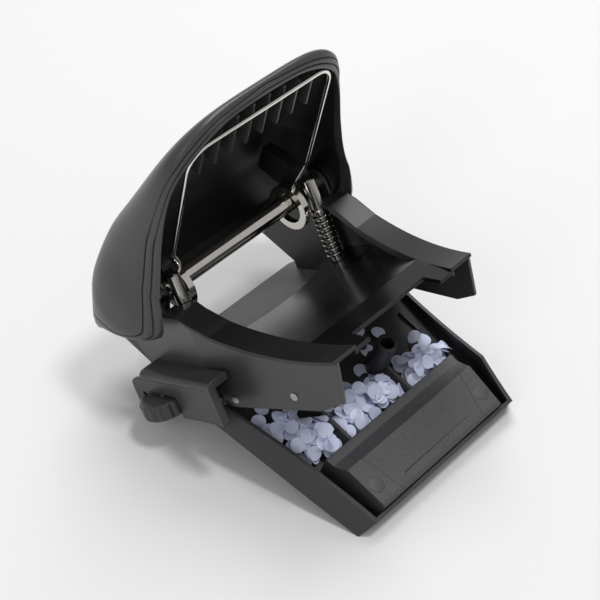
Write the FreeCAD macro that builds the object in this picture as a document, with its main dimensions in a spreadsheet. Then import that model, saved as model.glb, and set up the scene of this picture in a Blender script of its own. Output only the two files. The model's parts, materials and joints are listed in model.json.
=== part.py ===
import FreeCAD, Part
import Sketcher
import math
import os

from FreeCAD import Placement, Rotation, Vector

# Heavy-duty two-hole lever punch, opened for emptying: the chip tray hangs open on its hinge,
# the punch frame leans back on its rear foot and the lever stands raised.
#
# Three local frames are used, all with X to the right:
#   tray frame   origin under the front lip, Y to the rear, Z up from the tray's underside
#   punch frame  origin on the tray hinge, Y to the rear, Z up when the punch is closed
#   lever frame  origin on the cross rod, Y to the rear, Z out of the lever's back when closed
# The part's own origin is on the table, under the middle of the open punch.

doc = FreeCAD.newDocument("hole_punch")
sheet = doc.addObject("Spreadsheet::Sheet", "Sizes")

SIZES = [
    # attitude
    ("tray_tilt", 17.0, "nose-down tilt of the tray, degrees"),
    ("lever_raise", 49.0, "lever above the punch frame, degrees"),
    ("fit_gap", 0.3, "clearance between parts that move past each other"),
    ("pin_gap", 0.05, "radial running clearance of a pin in its hole"),
    # tray
    ("tray_lip_half", 43.5, "half width over the front lip"),
    ("tray_lip_height", 9.2, "height of the front lip"),
    ("tray_bend_y", 21.7, "distance from the lip to the bend of the side wall"),
    ("tray_bend_half", 47.6, "half width over the walls at the bend"),
    ("tray_bend_height", 13.3, "height of the walls at the bend"),
    ("tray_rear_y", 77.0, "length of the tray"),
    ("tray_rear_half", 52.3, "half width over the walls at the rear"),
    ("tray_rear_height", 5.7, "height of the walls at the rear"),
    ("tray_foot_front", 48.2, "half width of the underside at the front"),
    ("tray_foot_bend", 50.8, "half width of the underside at the bend"),
    ("tray_foot_rear", 57.0, "half width of the underside at the rear"),
    ("tray_toe", 2.4, "set-back of the underside behind the lip"),
    ("tray_wall", 1.6, "wall of the tray"),
    ("tray_floor", 1.5, "floor of the tray"),
    ("panel_ridge_y", 22.1, "lip to the ridge of the front panel"),
    ("panel_ridge_height", 13.9, "height of the ridge"),
    ("panel_valley_y", 27.6, "lip to the foot of the groove face"),
    ("panel_strip_height", 10.3, "height of the strip behind the groove"),
    ("panel_rear_y", 31.8, "lip to the rear wall of the panel"),
    ("panel_front_half", 37.0, "half width of the panel at the lip"),
    ("panel_rear_half", 39.2, "half width of the panel at its rear"),
    ("panel_wall", 1.8, "wall of the panel"),
    ("divider_height", 7.5, "height of the dividers above the floor"),
    ("divider_wall", 1.5, "thickness of a divider"),
    ("left_divider_x", -23.5, "left divider from the middle"),
    ("left_divider_end", 70.0, "lip to the rear end of the left divider"),
    ("boss_x", 14.0, "hollow post from the middle"),
    ("boss_y", 49.8, "hollow post from the lip"),
    ("boss_radius", 4.35, "radius of the hollow post"),
    ("boss_bore", 2.9, "radius of the bore in the post"),
    ("boss_height", 21.2, "top of the post above the underside"),
    ("ledge_x", 42.3, "floor rib from the middle"),
    ("ledge_start", 50.0, "lip to the front end of the floor rib"),
    ("ledge_end", 62.0, "lip to the rear end of the floor rib"),
    ("ledge_height", 1.6, "height of the floor rib"),
    # tray hinge
    ("hinge_y", 79.3, "lip to the hinge axis"),
    ("hinge_height", 5.3, "hinge axis above the tray's underside"),
    ("hinge_pin_radius", 1.5, "radius of the hinge pins"),
    ("lug_radius", 3.6, "radius of the tray's hinge lugs"),
    ("lug_wall", 2.2, "thickness of a hinge lug"),
    ("lug_gap", 1.9, "space between a hinge lug and the cheek"),
    ("lug_front", 5.3, "hinge to the front of a lug's root"),
    ("pin_head_radius", 2.0, "radius of the hinge pin's head"),
    ("pin_head_height", 0.8, "height of the hinge pin's head"),
    # cheeks of the punch frame
    ("cheek_half", 50.3, "half width over the cheeks at the hinge"),
    ("cheek_front_half", 39.4, "half width over the cheeks at the front"),
    ("cheek_front", 67.9, "hinge to the upper front corner"),
    ("cheek_wall", 1.2, "sheet thickness of the cheeks"),
    ("cheek_bottom", 3.2, "bottom edge below the hinge"),
    ("cheek_toe_run", 51.0, "hinge to the start of the rising bottom edge"),
    ("cheek_toe_front", 63.9, "hinge to the lower front corner"),
    ("cheek_toe_rise", 0.9, "height of the lower front corner"),
    ("strip_front_height", 19.7, "top edge at the front"),
    ("strip_low_y", 39.2, "hinge to the middle of the concave top edge"),
    ("strip_low_height", 21.4, "top edge at its middle"),
    ("strip_mid_y", 10.0, "hinge to the steep stretch of the top edge"),
    ("strip_mid_height", 29.8, "top edge at the steep stretch"),
    ("strip_rear_height", 38.6, "level top edge at the rear"),
    ("strip_level_y", 4.5, "hinge back to the end of the level stretch"),
    ("strip_rear_y", 14.0, "hinge back to the rear end of the strips"),
    ("strip_width", 12.4, "width of the strips on top of the cheeks"),
    ("strip_wall", 1.4, "thickness of the strips"),
    ("strip_bead", 1.1, "radius of the rolled outer edge"),
    # rear of the cheeks
    ("ear_radius", 7.6, "radius of the ear around the cross rod"),
    ("cheek_rear_high_y", 43.0, "hinge back to the rearmost point of the cheek"),
    ("cheek_rear_high", 28.0, "height of the rearmost point of the cheek"),
    ("bracket_inset", 5.7, "cheek's outside to the outside of the rear bracket"),
    ("bracket_ear", 6.8, "radius of the bracket's ear around the cross rod"),
    ("bracket_wall", 1.6, "thickness of the rear brackets"),
    ("bracket_low_y", 47.0, "hinge back to the foot of the bracket's rear edge"),
    ("bracket_high_y", 64.0, "hinge back to the top of the bracket's rear edge"),
    ("bracket_high", 24.5, "height of the bracket's rearmost point"),
    ("bracket_front_y", 18.5, "hinge back to the bracket's front edge"),
    # paper table, die and guide plate
    ("table_top", 3.5, "top of the paper table above the hinge"),
    ("table_wall", 3.5, "thickness of the paper table"),
    ("table_rear_y", 56.5, "hinge back to the rear edge of the table"),
    ("table_front_y", 7.0, "hinge back to the front edge of the table"),
    ("table_corner", 4.0, "corner radius of the table"),
    ("guide_height", 13.7, "top of the guide plate at the punch pins"),
    ("guide_fold_y", 46.3, "hinge to the fold of the guide plate"),
    ("guide_fold_height", 20.4, "top of the guide plate at the fold"),
    ("band_height", 18.6, "top of the front band"),
    ("guide_wall", 1.5, "sheet thickness of the guide plate"),
    ("guide_rear_y", 17.0, "hinge back to the guide plate's rear corners"),
    ("guide_arch", 10.5, "rise of the arched rear edge"),
    ("band_cut_half", 21.0, "half width of the cut-out in the band"),
    ("band_cut_y", 58.8, "hinge to the rear edge of the cut-out"),
    ("slot_x", 35.4, "light slot from the middle"),
    ("slot_length", 17.0, "length of the light slots"),
    ("slot_width", 1.6, "width of the light slots"),
    ("slot_y", 5.7, "hinge to the light slots"),
    # punch pins, springs
    ("hole_spacing", 80.0, "distance between the punched holes"),
    ("punch_y", 12.0, "hinge back to the punch pins"),
    ("punch_radius", 2.75, "radius of the punch pins"),
    ("punch_rise", 7.7, "top of the pins above the cross rod"),
    ("punch_tip", 11.0, "lower end of the pins above the hinge"),
    ("punch_collar_radius", 3.9, "radius of the spring's collar on the pin"),
    ("punch_collar_height", 1.2, "height of the collar"),
    ("punch_travel", 9.6, "stroke of the punch pins"),
    ("spring_radius", 3.75, "mean radius of the springs"),
    ("spring_wire", 0.55, "radius of the spring wire"),
    ("collar_drop", 0.5, "gap between the pin's collar and the strip"),
    ("spring_turns", 8.0, "turns of a spring"),
    ("sleeve_radius", 4.6, "radius of the guide sleeve under the plate"),
    # cross rod and lever
    ("rod_y", 21.3, "hinge back to the cross rod"),
    ("rod_rise", 4.9, "cross rod above the strips' level rear stretch"),
    ("rod_radius", 4.05, "radius of the cross rod"),
    ("cap_radius", 5.6, "radius of the rod's end caps"),
    ("cap_wall", 1.0, "thickness of the end caps"),
    ("shell_flank", 9.1, "mouth to the outside of the shell at its widest"),
    ("shell_tail", 26.5, "rod to the shell's rear end"),
    ("shell_hind", 18.0, "rod back to the hind stations"),
    ("shell_wide", 8.0, "rod back to the shell's widest stations"),
    ("shell_fore", 20.0, "rod to the fore stations"),
    ("shell_mid", 40.0, "rod to the middle stations"),
    ("shell_near", 60.0, "rod to the near stations"),
    ("shell_length", 91.0, "rod to the free end"),
    ("shell_round", 38.0, "rod to where the plan begins to round"),
    ("shell_tail_in", 6.1, "narrowing of the shell at its tail"),
    ("shell_hind_in", 2.0, "narrowing of the shell at the hind stations"),
    ("shell_rod_in", 1.3, "narrowing of the shell at the rod"),
    ("shell_fore_in", 7.5, "narrowing of the shell at the fore stations"),
    ("shell_mid_in", 11.7, "narrowing of the shell at its middle"),
    ("shell_near_in", 14.5, "narrowing of the shell at the near stations"),
    ("shell_end_in", 15.5, "narrowing of the shell at its end"),
    ("shell_tail_rise", 20.3, "height of the shell's back at its tail"),
    ("shell_hind_rise", 25.4, "height of the back between the tail and the rod"),
    ("shell_rise", 27.8, "height of the shell's back over the rod"),
    ("shell_fore_rise", 26.8, "height of the back at the fore stations"),
    ("shell_mid_rise", 21.0, "height of the back at the middle"),
    ("shell_near_rise", 14.8, "height of the back at the near stations"),
    ("shell_end_rise", 5.3, "height of the back at the free end"),
    ("shell_tail_rim", 14.3, "height of the rim at the tail"),
    ("shell_hind_rim", 5.8, "height of the rim at the hind stations"),
    ("shell_lobe", 15.5, "depth of the shell's lobes below the rod"),
    ("shell_slant_rim", 8.7, "depth of the slanted rear edge at the lobes"),
    ("shell_slant_y", 10.0, "rod back to the slanted edge's foot"),
    ("shell_heel", 13.5, "depth of the rim in front of the lobes"),
    ("shell_heel_y", 9.0, "rod to the rim's heel"),
    ("shell_fore_rim", 9.2, "depth of the rim at the fore stations"),
    ("shell_mid_rim", 3.7, "depth of the rim at the middle"),
    ("shell_near_rim", 0.8, "depth of the rim at the near stations"),
    ("shell_lip_rise", 1.5, "height of the underside at the free end"),
    ("shell_wall", 2.2, "wall of the shell"),
    ("shell_crown", 0.6, "crown of the shell's back"),
    ("mouth_gap", 4.2, "strip's bead to the mouth of the shell"),
    ("mouth_straight", 15.0, "rod to where the mouth begins to narrow"),
    ("mouth_fore_in", 1.4, "narrowing of the mouth at the fore stations"),
    ("mouth_mid_in", 4.6, "narrowing of the mouth at the middle"),
    ("mouth_near_in", 7.0, "narrowing of the mouth at the near stations"),
    ("mouth_end_in", 9.2, "narrowing of the mouth at its end"),
    ("mouth_end", 86.3, "rod to the front edge of the mouth"),
    ("rim_edge", 0.5, "width of the edge that the mouth cuts into the rim"),
    ("rib_wall", 1.2, "thickness of the ribs in the shell"),
    ("rib_pitch", 8.5, "distance between the ribs"),
    ("rib_count", 8.0, "ribs in the shell"),
    ("rib_start", 61.0, "rod to the rear end of the ribs"),
    ("wire_radius", 0.95, "radius of the bail's wire"),
    ("wire_half", 39.0, "half width of the bail"),
    ("wire_reach", 78.7, "rod to the bail's bridge"),
    ("wire_corner", 9.0, "bend radius of the bail"),
    ("eye_inner", 7.2, "inner radius of the bail's eyes"),
    ("eye_outer", 10.4, "outer radius of the bail's eyes"),
    ("eye_wall", 3.0, "thickness of the bail's eyes"),
    ("eye_back", 2.75, "eyes' centre behind the rod's"),
    ("eye_drop", 0.75, "eyes' centre below the rod's"),
    ("arm_radius", 8.0, "radius of the lever's hubs on the rod"),
    # wings, side plate, thumb wheel, paper guide
    ("wing_width", 10.7, "width of a wing"),
    ("wing_skin", 3.4, "thickness of the wing's outer rim"),
    ("wing_top", 15.2, "top of the wings above the hinge"),
    ("wing_rear_y", 33.0, "hinge back to the rear of the wings"),
    ("wing_front_y", 13.0, "hinge to the front of the wings"),
    ("wing_bottom", 4.2, "bottom of the wings below the hinge"),
    ("wing_bead", 3.0, "width of the wing's rounded rim"),
    ("wing_recess", 1.8, "depth of the recess in the wing's side"),
    ("plate_wall", 1.4, "thickness of the side plates"),
    ("plate_rear_y", 41.0, "hinge back to the rear end of the side plate"),
    ("wheel_radius", 10.5, "radius of the thumb wheel"),
    ("wheel_wall", 7.6, "thickness of the thumb wheel"),
    ("wheel_inset", 2.0, "wing's outside to the thumb wheel's axis"),
    ("wheel_y", 24.5, "hinge back to the thumb wheel's axis"),
    ("wheel_height", 1.2, "middle of the thumb wheel above the hinge"),
    ("wheel_flutes", 16.0, "flutes around the thumb wheel"),
    ("wheel_slot_gap", 0.7, "clearance around the thumb wheel in its slots"),
    ("pinion_radius", 4.0, "radius of the thumb wheel's pinion"),
    ("rail_length", 88.0, "length of the paper guide's rail"),
    ("pan_depth", 4.1, "bottom of the base pan below the hinge"),
    ("pan_wall", 1.2, "sheet thickness of the base pan"),
    ("pan_inset", 4.3, "cheek's outside to the end of the base pan"),
    ("pan_front_y", 8.0, "hinge back to the open front of the pan"),
    ("pan_rear_y", 50.0, "hinge back to the rear of the pan"),
    ("die_bore", 2.85, "radius of the die holes"),
    ("sleeve_height", 1.5, "depth of the guide sleeves under the plate"),
    ("flange_depth", 2.0, "depth of the strips' inner flange"),
    ("flange_wall", 1.0, "thickness of the strips' inner flange"),
    ("bracket_heel", 3.9, "upright foot of the bracket's rear edge"),
    ("guide_step_y", 28.0, "hinge to the step in the guide plate's sides"),
    ("sleeve_seat", 0.6, "fall of the plate's underside at the sleeves"),
    ("wing_roof", 3.0, "thickness of the wing's roof"),
    ("wing_bevel", 0.88, "rounding of the wing's rim"),
    ("plate_corner", 4.0, "corner radius of the side plates"),
    ("spring_seat", 0.1, "gap under the spring's first turn"),
    ("collar_gap", 0.1, "gap between the spring and the collar"),
    ("punch_hollow", 1.2, "depth of the hollow in the punch's tip"),
    ("punch_chamfer", 0.5, "chamfer of the punch's head"),
    ("rivet_rear_y", 9.4, "hinge to the rear rivets"),
    ("rivet_rear_z", 0.6, "rear rivets above the hinge"),
    ("rivet_front_y", 40.7, "hinge to the front rivets"),
    ("rivet_front_z", 3.1, "front rivets above the hinge"),
    ("wheel_edge", 1.5, "rounding of the thumb wheel's edges"),
    ("flute_radius", 1.4, "radius of the thumb wheel's flutes"),
    ("flute_depth", 0.6, "depth of the flutes"),
    ("rib_end", 83.0, "rod to the front end of the ribs"),
    ("rib_round", 6.0, "how much shorter the outermost ribs are"),
    ("rib_front_height", 14.0, "ribs' height at their front end"),
    ("rib_rear_height", 16.0, "ribs' height at their rear end"),
    ("wire_foot_half", 33.8, "half width of the bail at its eyes"),
    ("wire_straight", 5.0, "straight foot of the bail's legs"),
    ("wire_flare", 14.0, "eye to the end of the flared stretch"),
    ("nose_reach", 12.2, "rod to the press nose along the lever"),
    ("nose_height", 2.6, "press nose above the rod"),
    ("nose_radius", 2.0, "radius of the press nose"),
    ("nose_wall", 5.2, "width of the press nose"),
    ("arm_gap", 3.2, "press arms below the inside of the shell"),
    ("tray_draw_height", 14.5, "height up to which the tray's walls are drawn"),
    ("panel_front_y", 2.0, "lip to the panel's front edge"),
    ("panel_front_height", 11.2, "height of the panel's front edge"),
    ("hub_radius", 6.1, "radius of the press arms' hubs"),
    ("arm_play", 0.6, "space between a press arm and the rear bracket"),
    ("arm_rise", 1.6, "foot of the press arms' web above the rod"),
    ("hub_wall", 1.5, "width of the press arms' hubs"),
    ("axle_seat", 3.0, "depth of the thumb wheel axle's seat"),
    ("chips_left_depth", 17.0, "length of the left heap of chips"),
    ("chips_left_height", 7.0, "height of the left heap"),
    ("chips_middle_depth", 15.0, "length of the middle heap"),
    ("chips_middle_height", 8.0, "height of the middle heap"),
    ("chips_right_depth", 12.0, "length of the right heap"),
    ("chips_right_height", 6.0, "height of the right heap"),
    ("strip_notch", 3.4, "radius of the strips' notches for the pins"),
    ("rivet_radius", 1.7, "radius of the rivets in the cheeks"),
    ("rivet_height", 0.4, "height of the rivet heads"),
    ("wheel_pin_radius", 1.0, "radius of the thumb wheel's axle"),
    ("rail_width", 4.0, "width of the paper guide's rail"),
    ("rail_wall", 2.4, "thickness of the rail"),
    ("rail_reach", 44.0, "rail's right end from the middle"),
    # feet
    ("foot_inset", 4.0, "pan's end to the foot's end"),
    ("foot_width", 9.0, "width of the rear rubber foot"),
    ("foot_y", 49.2, "hinge back to the foot's rear edge"),
]


def fill_sheet():
    """Write the driving dimensions into the sheet, one aliased cell each."""
    for row, (name, value, note) in enumerate(SIZES, start=1):
        sheet.set(f"A{row}", name)
        sheet.set(f"B{row}", str(value))
        sheet.set(f"C{row}", note)
        sheet.setAlias(f"B{row}", name)
    doc.recompute()


def size(name):
    """Value of a driving dimension in the sheet, or of a size worked out from them."""
    if name in WORKED_OUT:
        return WORKED_OUT[name].value
    return float(sheet.get(name))


class Term:
    """A length worked out from the sheet: its value now, and its formula in the sheet's names."""

    def __init__(self, value, text):
        self.value = value
        self.text = text

    def __add__(self, other):
        other = term(other)
        return Term(self.value + other.value, f"({self.text} + {other.text})")

    def __sub__(self, other):
        other = term(other)
        return Term(self.value - other.value, f"({self.text} - {other.text})")

    def __mul__(self, other):
        other = term(other)
        return Term(self.value * other.value, f"({self.text} * {other.text})")

    def __truediv__(self, other):
        other = term(other)
        return Term(self.value / other.value, f"({self.text} / {other.text})")

    def __neg__(self):
        return Term(-self.value, f"(0 - {self.text})")


def term(what):
    """A Term for a name in the sheet, a bare number or a Term."""
    if isinstance(what, Term):
        return what
    if isinstance(what, str):
        return WORKED_OUT.get(what) or Term(size(what), f"Sizes.{what}")
    return Term(float(what), f"{float(what)}")


WORKED_OUT = {}


def work_out():
    """Sizes that follow from the driving dimensions, each under a name of its own."""
    WORKED_OUT["lug_outer"] = term("cheek_half") - "cheek_wall" - "lug_gap"
    WORKED_OUT["bracket_half"] = term("cheek_half") - "bracket_inset"
    WORKED_OUT["pan_half"] = term("cheek_half") - "pan_inset"
    WORKED_OUT["foot_half"] = term("pan_half") - "foot_inset"
    WORKED_OUT["wing_half"] = term("cheek_half") + "wing_width"
    WORKED_OUT["wheel_x"] = term("wing_half") - "wheel_inset"
    WORKED_OUT["rod_height"] = term("strip_rear_height") + "rod_rise"
    WORKED_OUT["punch_top"] = term("rod_height") + "punch_rise"
    WORKED_OUT["collar_top"] = term("strip_rear_height") - "strip_wall" - "collar_drop"
    WORKED_OUT["spring_top"] = term("collar_top") - "punch_collar_height" - "collar_gap"
    WORKED_OUT["mouth_half"] = term("cheek_half") + "strip_bead" + "mouth_gap"
    WORKED_OUT["shell_half"] = term("mouth_half") + "shell_flank"
    WORKED_OUT["arm_height"] = term("shell_rise") - "shell_wall" - "arm_gap"
    WORKED_OUT["arm_outer"] = term("bracket_half") - "bracket_wall" - "arm_play"
    WORKED_OUT["arm_inner"] = term("arm_outer") - "nose_wall"


def bind(item, prop, what):
    """Set a property of an object from a Term, and keep it bound to the sheet."""
    item.setExpression(prop, term(what).text)


def new_body(name):
    """An empty body whose label is the sub-part's name."""
    body = doc.addObject("PartDesign::Body", name)
    body.Label = name
    return body


def new_sketch(body, role, lift=0.0):
    """A sketch on one of the body's own origin planes, lifted along the plane's normal."""
    plane = [item for item in body.Origin.OriginFeatures if item.Role == role][0]
    sketch = body.newObject("Sketcher::SketchObject", body.Name + "_outline")
    sketch.AttachmentSupport = (plane, [""])
    sketch.MapMode = "FlatFace"
    bind(sketch, "AttachmentOffset.Base.z", lift)
    return sketch


def pin_point(sketch, geometry, corner, x, y):
    """Hold one point of the sketch at (x, y), bound to the sheet."""
    for kind, what in (("DistanceX", x), ("DistanceY", y)):
        value = term(what).value
        index = sketch.addConstraint(Sketcher.Constraint(kind, -1, 1, geometry, corner, value))
        if term(what).text.find("Sizes") >= 0:
            sketch.setExpression(f"Constraints[{index}]", term(what).text)


def outline(sketch, points):
    """Close an outline through the points. A third entry, 'via', makes a point the middle of an arc."""
    places = [Vector(term(p[0]).value, term(p[1]).value, 0) for p in points]
    corners = [i for i, p in enumerate(points) if len(p) == 2]
    first = None
    previous = None
    for here, following in zip(corners, corners[1:] + corners[:1]):
        step = (following - here) % len(points)
        if step == 1:
            curve = Part.LineSegment(places[here], places[following])
            start, end = 1, 2
        else:
            middle = places[(here + 1) % len(points)]
            curve = Part.Arc(places[here], middle, places[following])
            turn = (middle - places[here]).cross(places[following] - middle).z
            start, end = (1, 2) if turn > 0 else (2, 1)
        index = sketch.addGeometry(curve, False)
        if step == 2:
            mark = sketch.addGeometry(Part.Point(middle), True)
            pin_point(sketch, mark, 1, *points[(here + 1) % len(points)][:2])
            sketch.addConstraint(Sketcher.Constraint("PointOnObject", mark, 1, index))
        if previous is not None:
            sketch.addConstraint(Sketcher.Constraint("Coincident", previous[0], previous[1], index, start))
        else:
            first = (index, start)
        pin_point(sketch, index, start, *points[here])
        previous = (index, end)
    sketch.addConstraint(Sketcher.Constraint("Coincident", previous[0], previous[1], first[0], first[1]))


def circle(sketch, x, y, radius):
    """Add a circle with its centre and radius bound to the sheet."""
    centre = Vector(term(x).value, term(y).value, 0)
    index = sketch.addGeometry(Part.Circle(centre, Vector(0, 0, 1), term(radius).value), False)
    pin_point(sketch, index, 3, x, y)
    held = sketch.addConstraint(Sketcher.Constraint("Radius", index, term(radius).value))
    bind(sketch, f"Constraints[{held}]", radius)


def pad(body, role, points, length, lift=0.0, midplane=False, circles=()):
    """Pad an outline, with round holes in it, from an origin plane of the body."""
    sketch = new_sketch(body, role, lift)
    outline(sketch, points)
    for hole in circles:
        circle(sketch, *hole)
    feature = body.newObject("PartDesign::Pad", body.Name + "_pad")
    feature.Profile = sketch
    feature.SideType = 2 if midplane else 0
    bind(feature, "Length", length)
    sketch.Visibility = False
    return feature


def cut(body, role, shapes, circles=(), length=None, lift=0.0):
    """Cut outlines and circles through the body, both ways from the plane, or to a length."""
    sketch = new_sketch(body, role, lift)
    for points in shapes:
        outline(sketch, points)
    for hole in circles:
        circle(sketch, *hole)
    feature = body.newObject("PartDesign::Pocket", body.Name + "_cut")
    feature.Profile = sketch
    feature.SideType = 2
    if length is None:
        feature.Type = 1
    else:
        bind(feature, "Length", length)
    sketch.Visibility = False
    return feature


def cylinder(name, radius, length, centre):
    """A round bar along X, centred on a point of its frame."""
    rod = doc.addObject("Part::Cylinder", name)
    rod.Label = name
    bind(rod, "Radius", radius)
    bind(rod, "Height", length)
    x, y, z = (term(value).value for value in centre)
    rod.Placement = Placement(Vector(x - term(length).value / 2, y, z), Rotation(Vector(0, 1, 0), 90))
    return rod


def solid(name, shape):
    """A sub-part whose shape is worked out from the sheet by its own function."""
    feature = doc.addObject("Part::Feature", name)
    feature.Label = name
    feature.Shape = shape
    return feature


def sides():
    """The two sides of the punch: the end of a sub-part's name, and the sign of its X."""
    return (("left", -1), ("right", 1))


# ---- Punch frame: X right, Y to the rear of the tray hinge, Z up from it ----

def strip_curve(drop):
    """Top edge of a cheek from its front to its rear, lowered by a thickness."""
    return [
        (-term("cheek_front"), term("strip_front_height") - drop),
        (-term("strip_low_y"), term("strip_low_height") - drop, "via"),
        (-term("strip_mid_y"), term("strip_mid_height") - drop),
        (term("strip_level_y"), term("strip_rear_height") - drop),
    ]


def make_cheek(name, sign):
    """Upright side plate: parallel at the rear, running in to the front, with the rod's ear."""
    half, front = term("cheek_half"), term("cheek_front_half")
    wall, rear = term("cheek_wall"), term("cheek_rear_high_y")
    nose = -term("cheek_front")
    plan = [
        (half * sign, rear),
        (half * sign, 0),
        (front * sign, nose),
        ((front - wall) * sign, nose),
        ((half - wall) * sign, 0),
        ((half - wall) * sign, rear),
    ]
    body = new_body(name)
    low = -term("cheek_bottom")
    rod_y, rod_z, ear = term("rod_y"), term("rod_height"), term("ear_radius")
    pad(body, "XY_Plane", plan, rod_z + ear - low, lift=low)
    margin = term(5)
    around = [
        (rear + margin, low - margin),
        (nose - margin, low - margin),
        (nose - margin, rod_z + ear + margin),
        (rear + margin, rod_z + ear + margin),
    ]
    reach = term("wheel_radius") + "wheel_slot_gap"
    slot_top = term("wheel_height") + term("wheel_wall") / 2 + "wheel_slot_gap"
    edge = strip_curve(term("strip_wall")) + [
        (rod_y - ear, term("strip_rear_height") - "strip_wall"),
        (rod_y - ear, rod_z),
        (rod_y, rod_z + ear, "via"),
        (rod_y + ear, rod_z),
        (rear, "cheek_rear_high"),
        (term("wheel_y") + reach, slot_top),
        (term("wheel_y") - reach, slot_top),
        (term("wheel_y") - reach, low),
        (-term("cheek_toe_run"), low),
        (-term("cheek_toe_front"), "cheek_toe_rise"),
    ]
    cut(body, "YZ_Plane", [around, edge])
    cut(body, "YZ_Plane", [], circles=[(0, 0, "hinge_pin_radius"), (rod_y, rod_z, "rod_radius")])
    return body


def face(points, plane):
    """A flat face through the points, in the 'xy', 'xz' or 'yz' plane; 'via' marks an arc's middle."""
    def place(point):
        a, b = term(point[0]).value, term(point[1]).value
        return {"xy": Vector(a, b, 0), "xz": Vector(a, 0, b), "yz": Vector(0, a, b)}[plane]

    edges = []
    corners = [i for i, p in enumerate(points) if len(p) == 2]
    for here, following in zip(corners, corners[1:] + corners[:1]):
        if (following - here) % len(points) == 1:
            edges.append(Part.LineSegment(place(points[here]), place(points[following])).toShape())
        else:
            middle = place(points[here + 1])
            edges.append(Part.Arc(place(points[here]), middle, place(points[following])).toShape())
    return Part.Face(Part.Wire(edges))


def prism(points, plane, start, end):
    """A face extruded from one distance to another along its plane's own axis."""
    axis = {"xy": Vector(0, 0, 1), "xz": Vector(0, 1, 0), "yz": Vector(1, 0, 0)}[plane]
    start, end = term(start).value, term(end).value
    flat = face(points, plane)
    flat.translate(axis * start)
    return flat.extrude(axis * (end - start))


def bar(radius, start, end):
    """A round bar between two points."""
    return Part.makeCylinder(term(radius).value, (end - start).Length, start, end - start)


def make_strip(name, sign):
    """Folded strip on top of a cheek: rolled outer edge, inner flange and a notch for the pin."""
    bead, wall = term("strip_bead"), term("strip_wall")
    half, front = term("cheek_half") + bead, term("cheek_front_half") + bead
    width, rear, nose = term("strip_width"), term("strip_rear_y"), -term("cheek_front")
    ear_front = term("rod_y") - "ear_radius" - "fit_gap"
    inside = term("cheek_half") - "cheek_wall" - "fit_gap"
    plan = [
        (half * sign, ear_front),
        (half * sign, 0),
        (front * sign, nose),
        ((front - width) * sign, nose),
        ((half - width) * sign, 0),
        ((half - width) * sign, rear),
        (inside * sign, rear),
        (inside * sign, ear_front),
    ]
    lip = term("flange_wall")
    flange_plan = [
        ((half - width + lip) * sign, 0),
        ((front - width + lip) * sign, nose),
        ((front - width) * sign, nose),
        ((half - width) * sign, 0),
        ((half - width) * sign, term("punch_y") - "strip_notch" - "strip_notch"),
        ((half - width + lip) * sign, term("punch_y") - "strip_notch" - "strip_notch"),
    ]

    def band(thickness):
        top, low = strip_curve(0), strip_curve(thickness)
        tail = [(rear, "strip_rear_height"), (rear, term("strip_rear_height") - thickness)]
        return prism(top + tail + list(reversed(low)), "yz", -half, half)

    height = term("strip_rear_height") + bead
    strip = band(wall).common(prism(plan, "xy", 0, height))
    flange = band(wall + "flange_depth").common(prism(flange_plan, "xy", 0, height))
    hole = bar("strip_notch", Vector(*place_of_pin(sign), 0), Vector(*place_of_pin(sign), height.value))
    return solid(name, strip.fuse(flange).removeSplitter().cut(hole))


def place_of_pin(sign):
    """X and Y of a punch pin."""
    return (sign * size("hole_spacing") / 2, size("punch_y"))


def make_bracket(name, sign):
    """Rear bracket that carries the cross rod, standing on the paper table."""
    half, wall = term("bracket_half"), term("bracket_wall")
    rod_y, rod_z, ear = term("rod_y"), term("rod_height"), term("bracket_ear")
    foot = term("table_top")
    edge = [
        (term("bracket_front_y"), foot),
        (term("bracket_front_y"), rod_z - ear),
        (rod_y - ear, rod_z),
        (rod_y, rod_z + ear, "via"),
        (rod_y + ear, rod_z),
        ("bracket_high_y", term("bracket_high") + "bracket_wall"),
        ("bracket_high_y", term("bracket_high") - "bracket_wall"),
        (term("bracket_low_y"), foot + "bracket_heel"),
        (term("bracket_low_y"), foot),
    ]
    body = new_body(name)
    left = (half - wall) if sign > 0 else -half
    pad(body, "YZ_Plane", edge, wall, lift=left, circles=[(rod_y, rod_z, "rod_radius")])
    return body


def make_table():
    """Paper table with the two die holes."""
    half, corner = term("cheek_half") - "cheek_wall", term("table_corner")
    front, rear = term("table_front_y"), term("table_rear_y")
    bend = corner * (1 - math.sqrt(0.5))
    plan = [
        (-half, front),
        (half, front),
        (half, rear - corner),
        (half - bend, rear - bend, "via"),
        (half - corner, rear),
        (corner - half, rear),
        (bend - half, rear - bend, "via"),
        (-half, rear - corner),
    ]
    body = new_body("paper_table")
    spacing = term("hole_spacing") / 2
    dies = [(spacing * sign, "punch_y", "die_bore") for sign in (-1, 1)]
    pad(body, "XY_Plane", plan, "table_wall", lift=term("table_top") - "table_wall", circles=dies)
    reach = term("wheel_radius") + "wheel_slot_gap"
    depth = term("wheel_x") - reach
    y0, y1 = term("wheel_y") - reach, term("wheel_y") + reach
    over = half + 5
    notches = [[(depth * s, y0), (over * s, y0), (over * s, y1), (depth * s, y1)] for s in (-1, 1)]
    cut(body, "XY_Plane", notches)
    return body


def make_pan():
    """Base pan under the table: a chip channel open to the tray, a rail groove and a rear hollow."""
    low, wall = -term("pan_depth"), term("pan_wall")
    top = term("table_top") - "table_wall"
    front, rear = term("pan_front_y"), term("pan_rear_y")
    groove_front = rail_front() - "fit_gap"
    groove_rear = rail_front() + "rail_width" + "fit_gap"
    edge = [
        (front, low),
        (groove_front, low),
        (groove_front, top - wall),
        (groove_rear, top - wall),
        (groove_rear, low),
        (rear, low),
        (rear, top),
        (rear - wall, top),
        (rear - wall, low + wall),
        (groove_rear + wall, low + wall),
        (groove_rear + wall, top),
        (groove_front - wall, top),
        (groove_front - wall, low + wall),
        (front, low + wall),
    ]
    body = new_body("base_pan")
    pad(body, "YZ_Plane", edge, term("pan_half") * 2, midplane=True)
    return body


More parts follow.
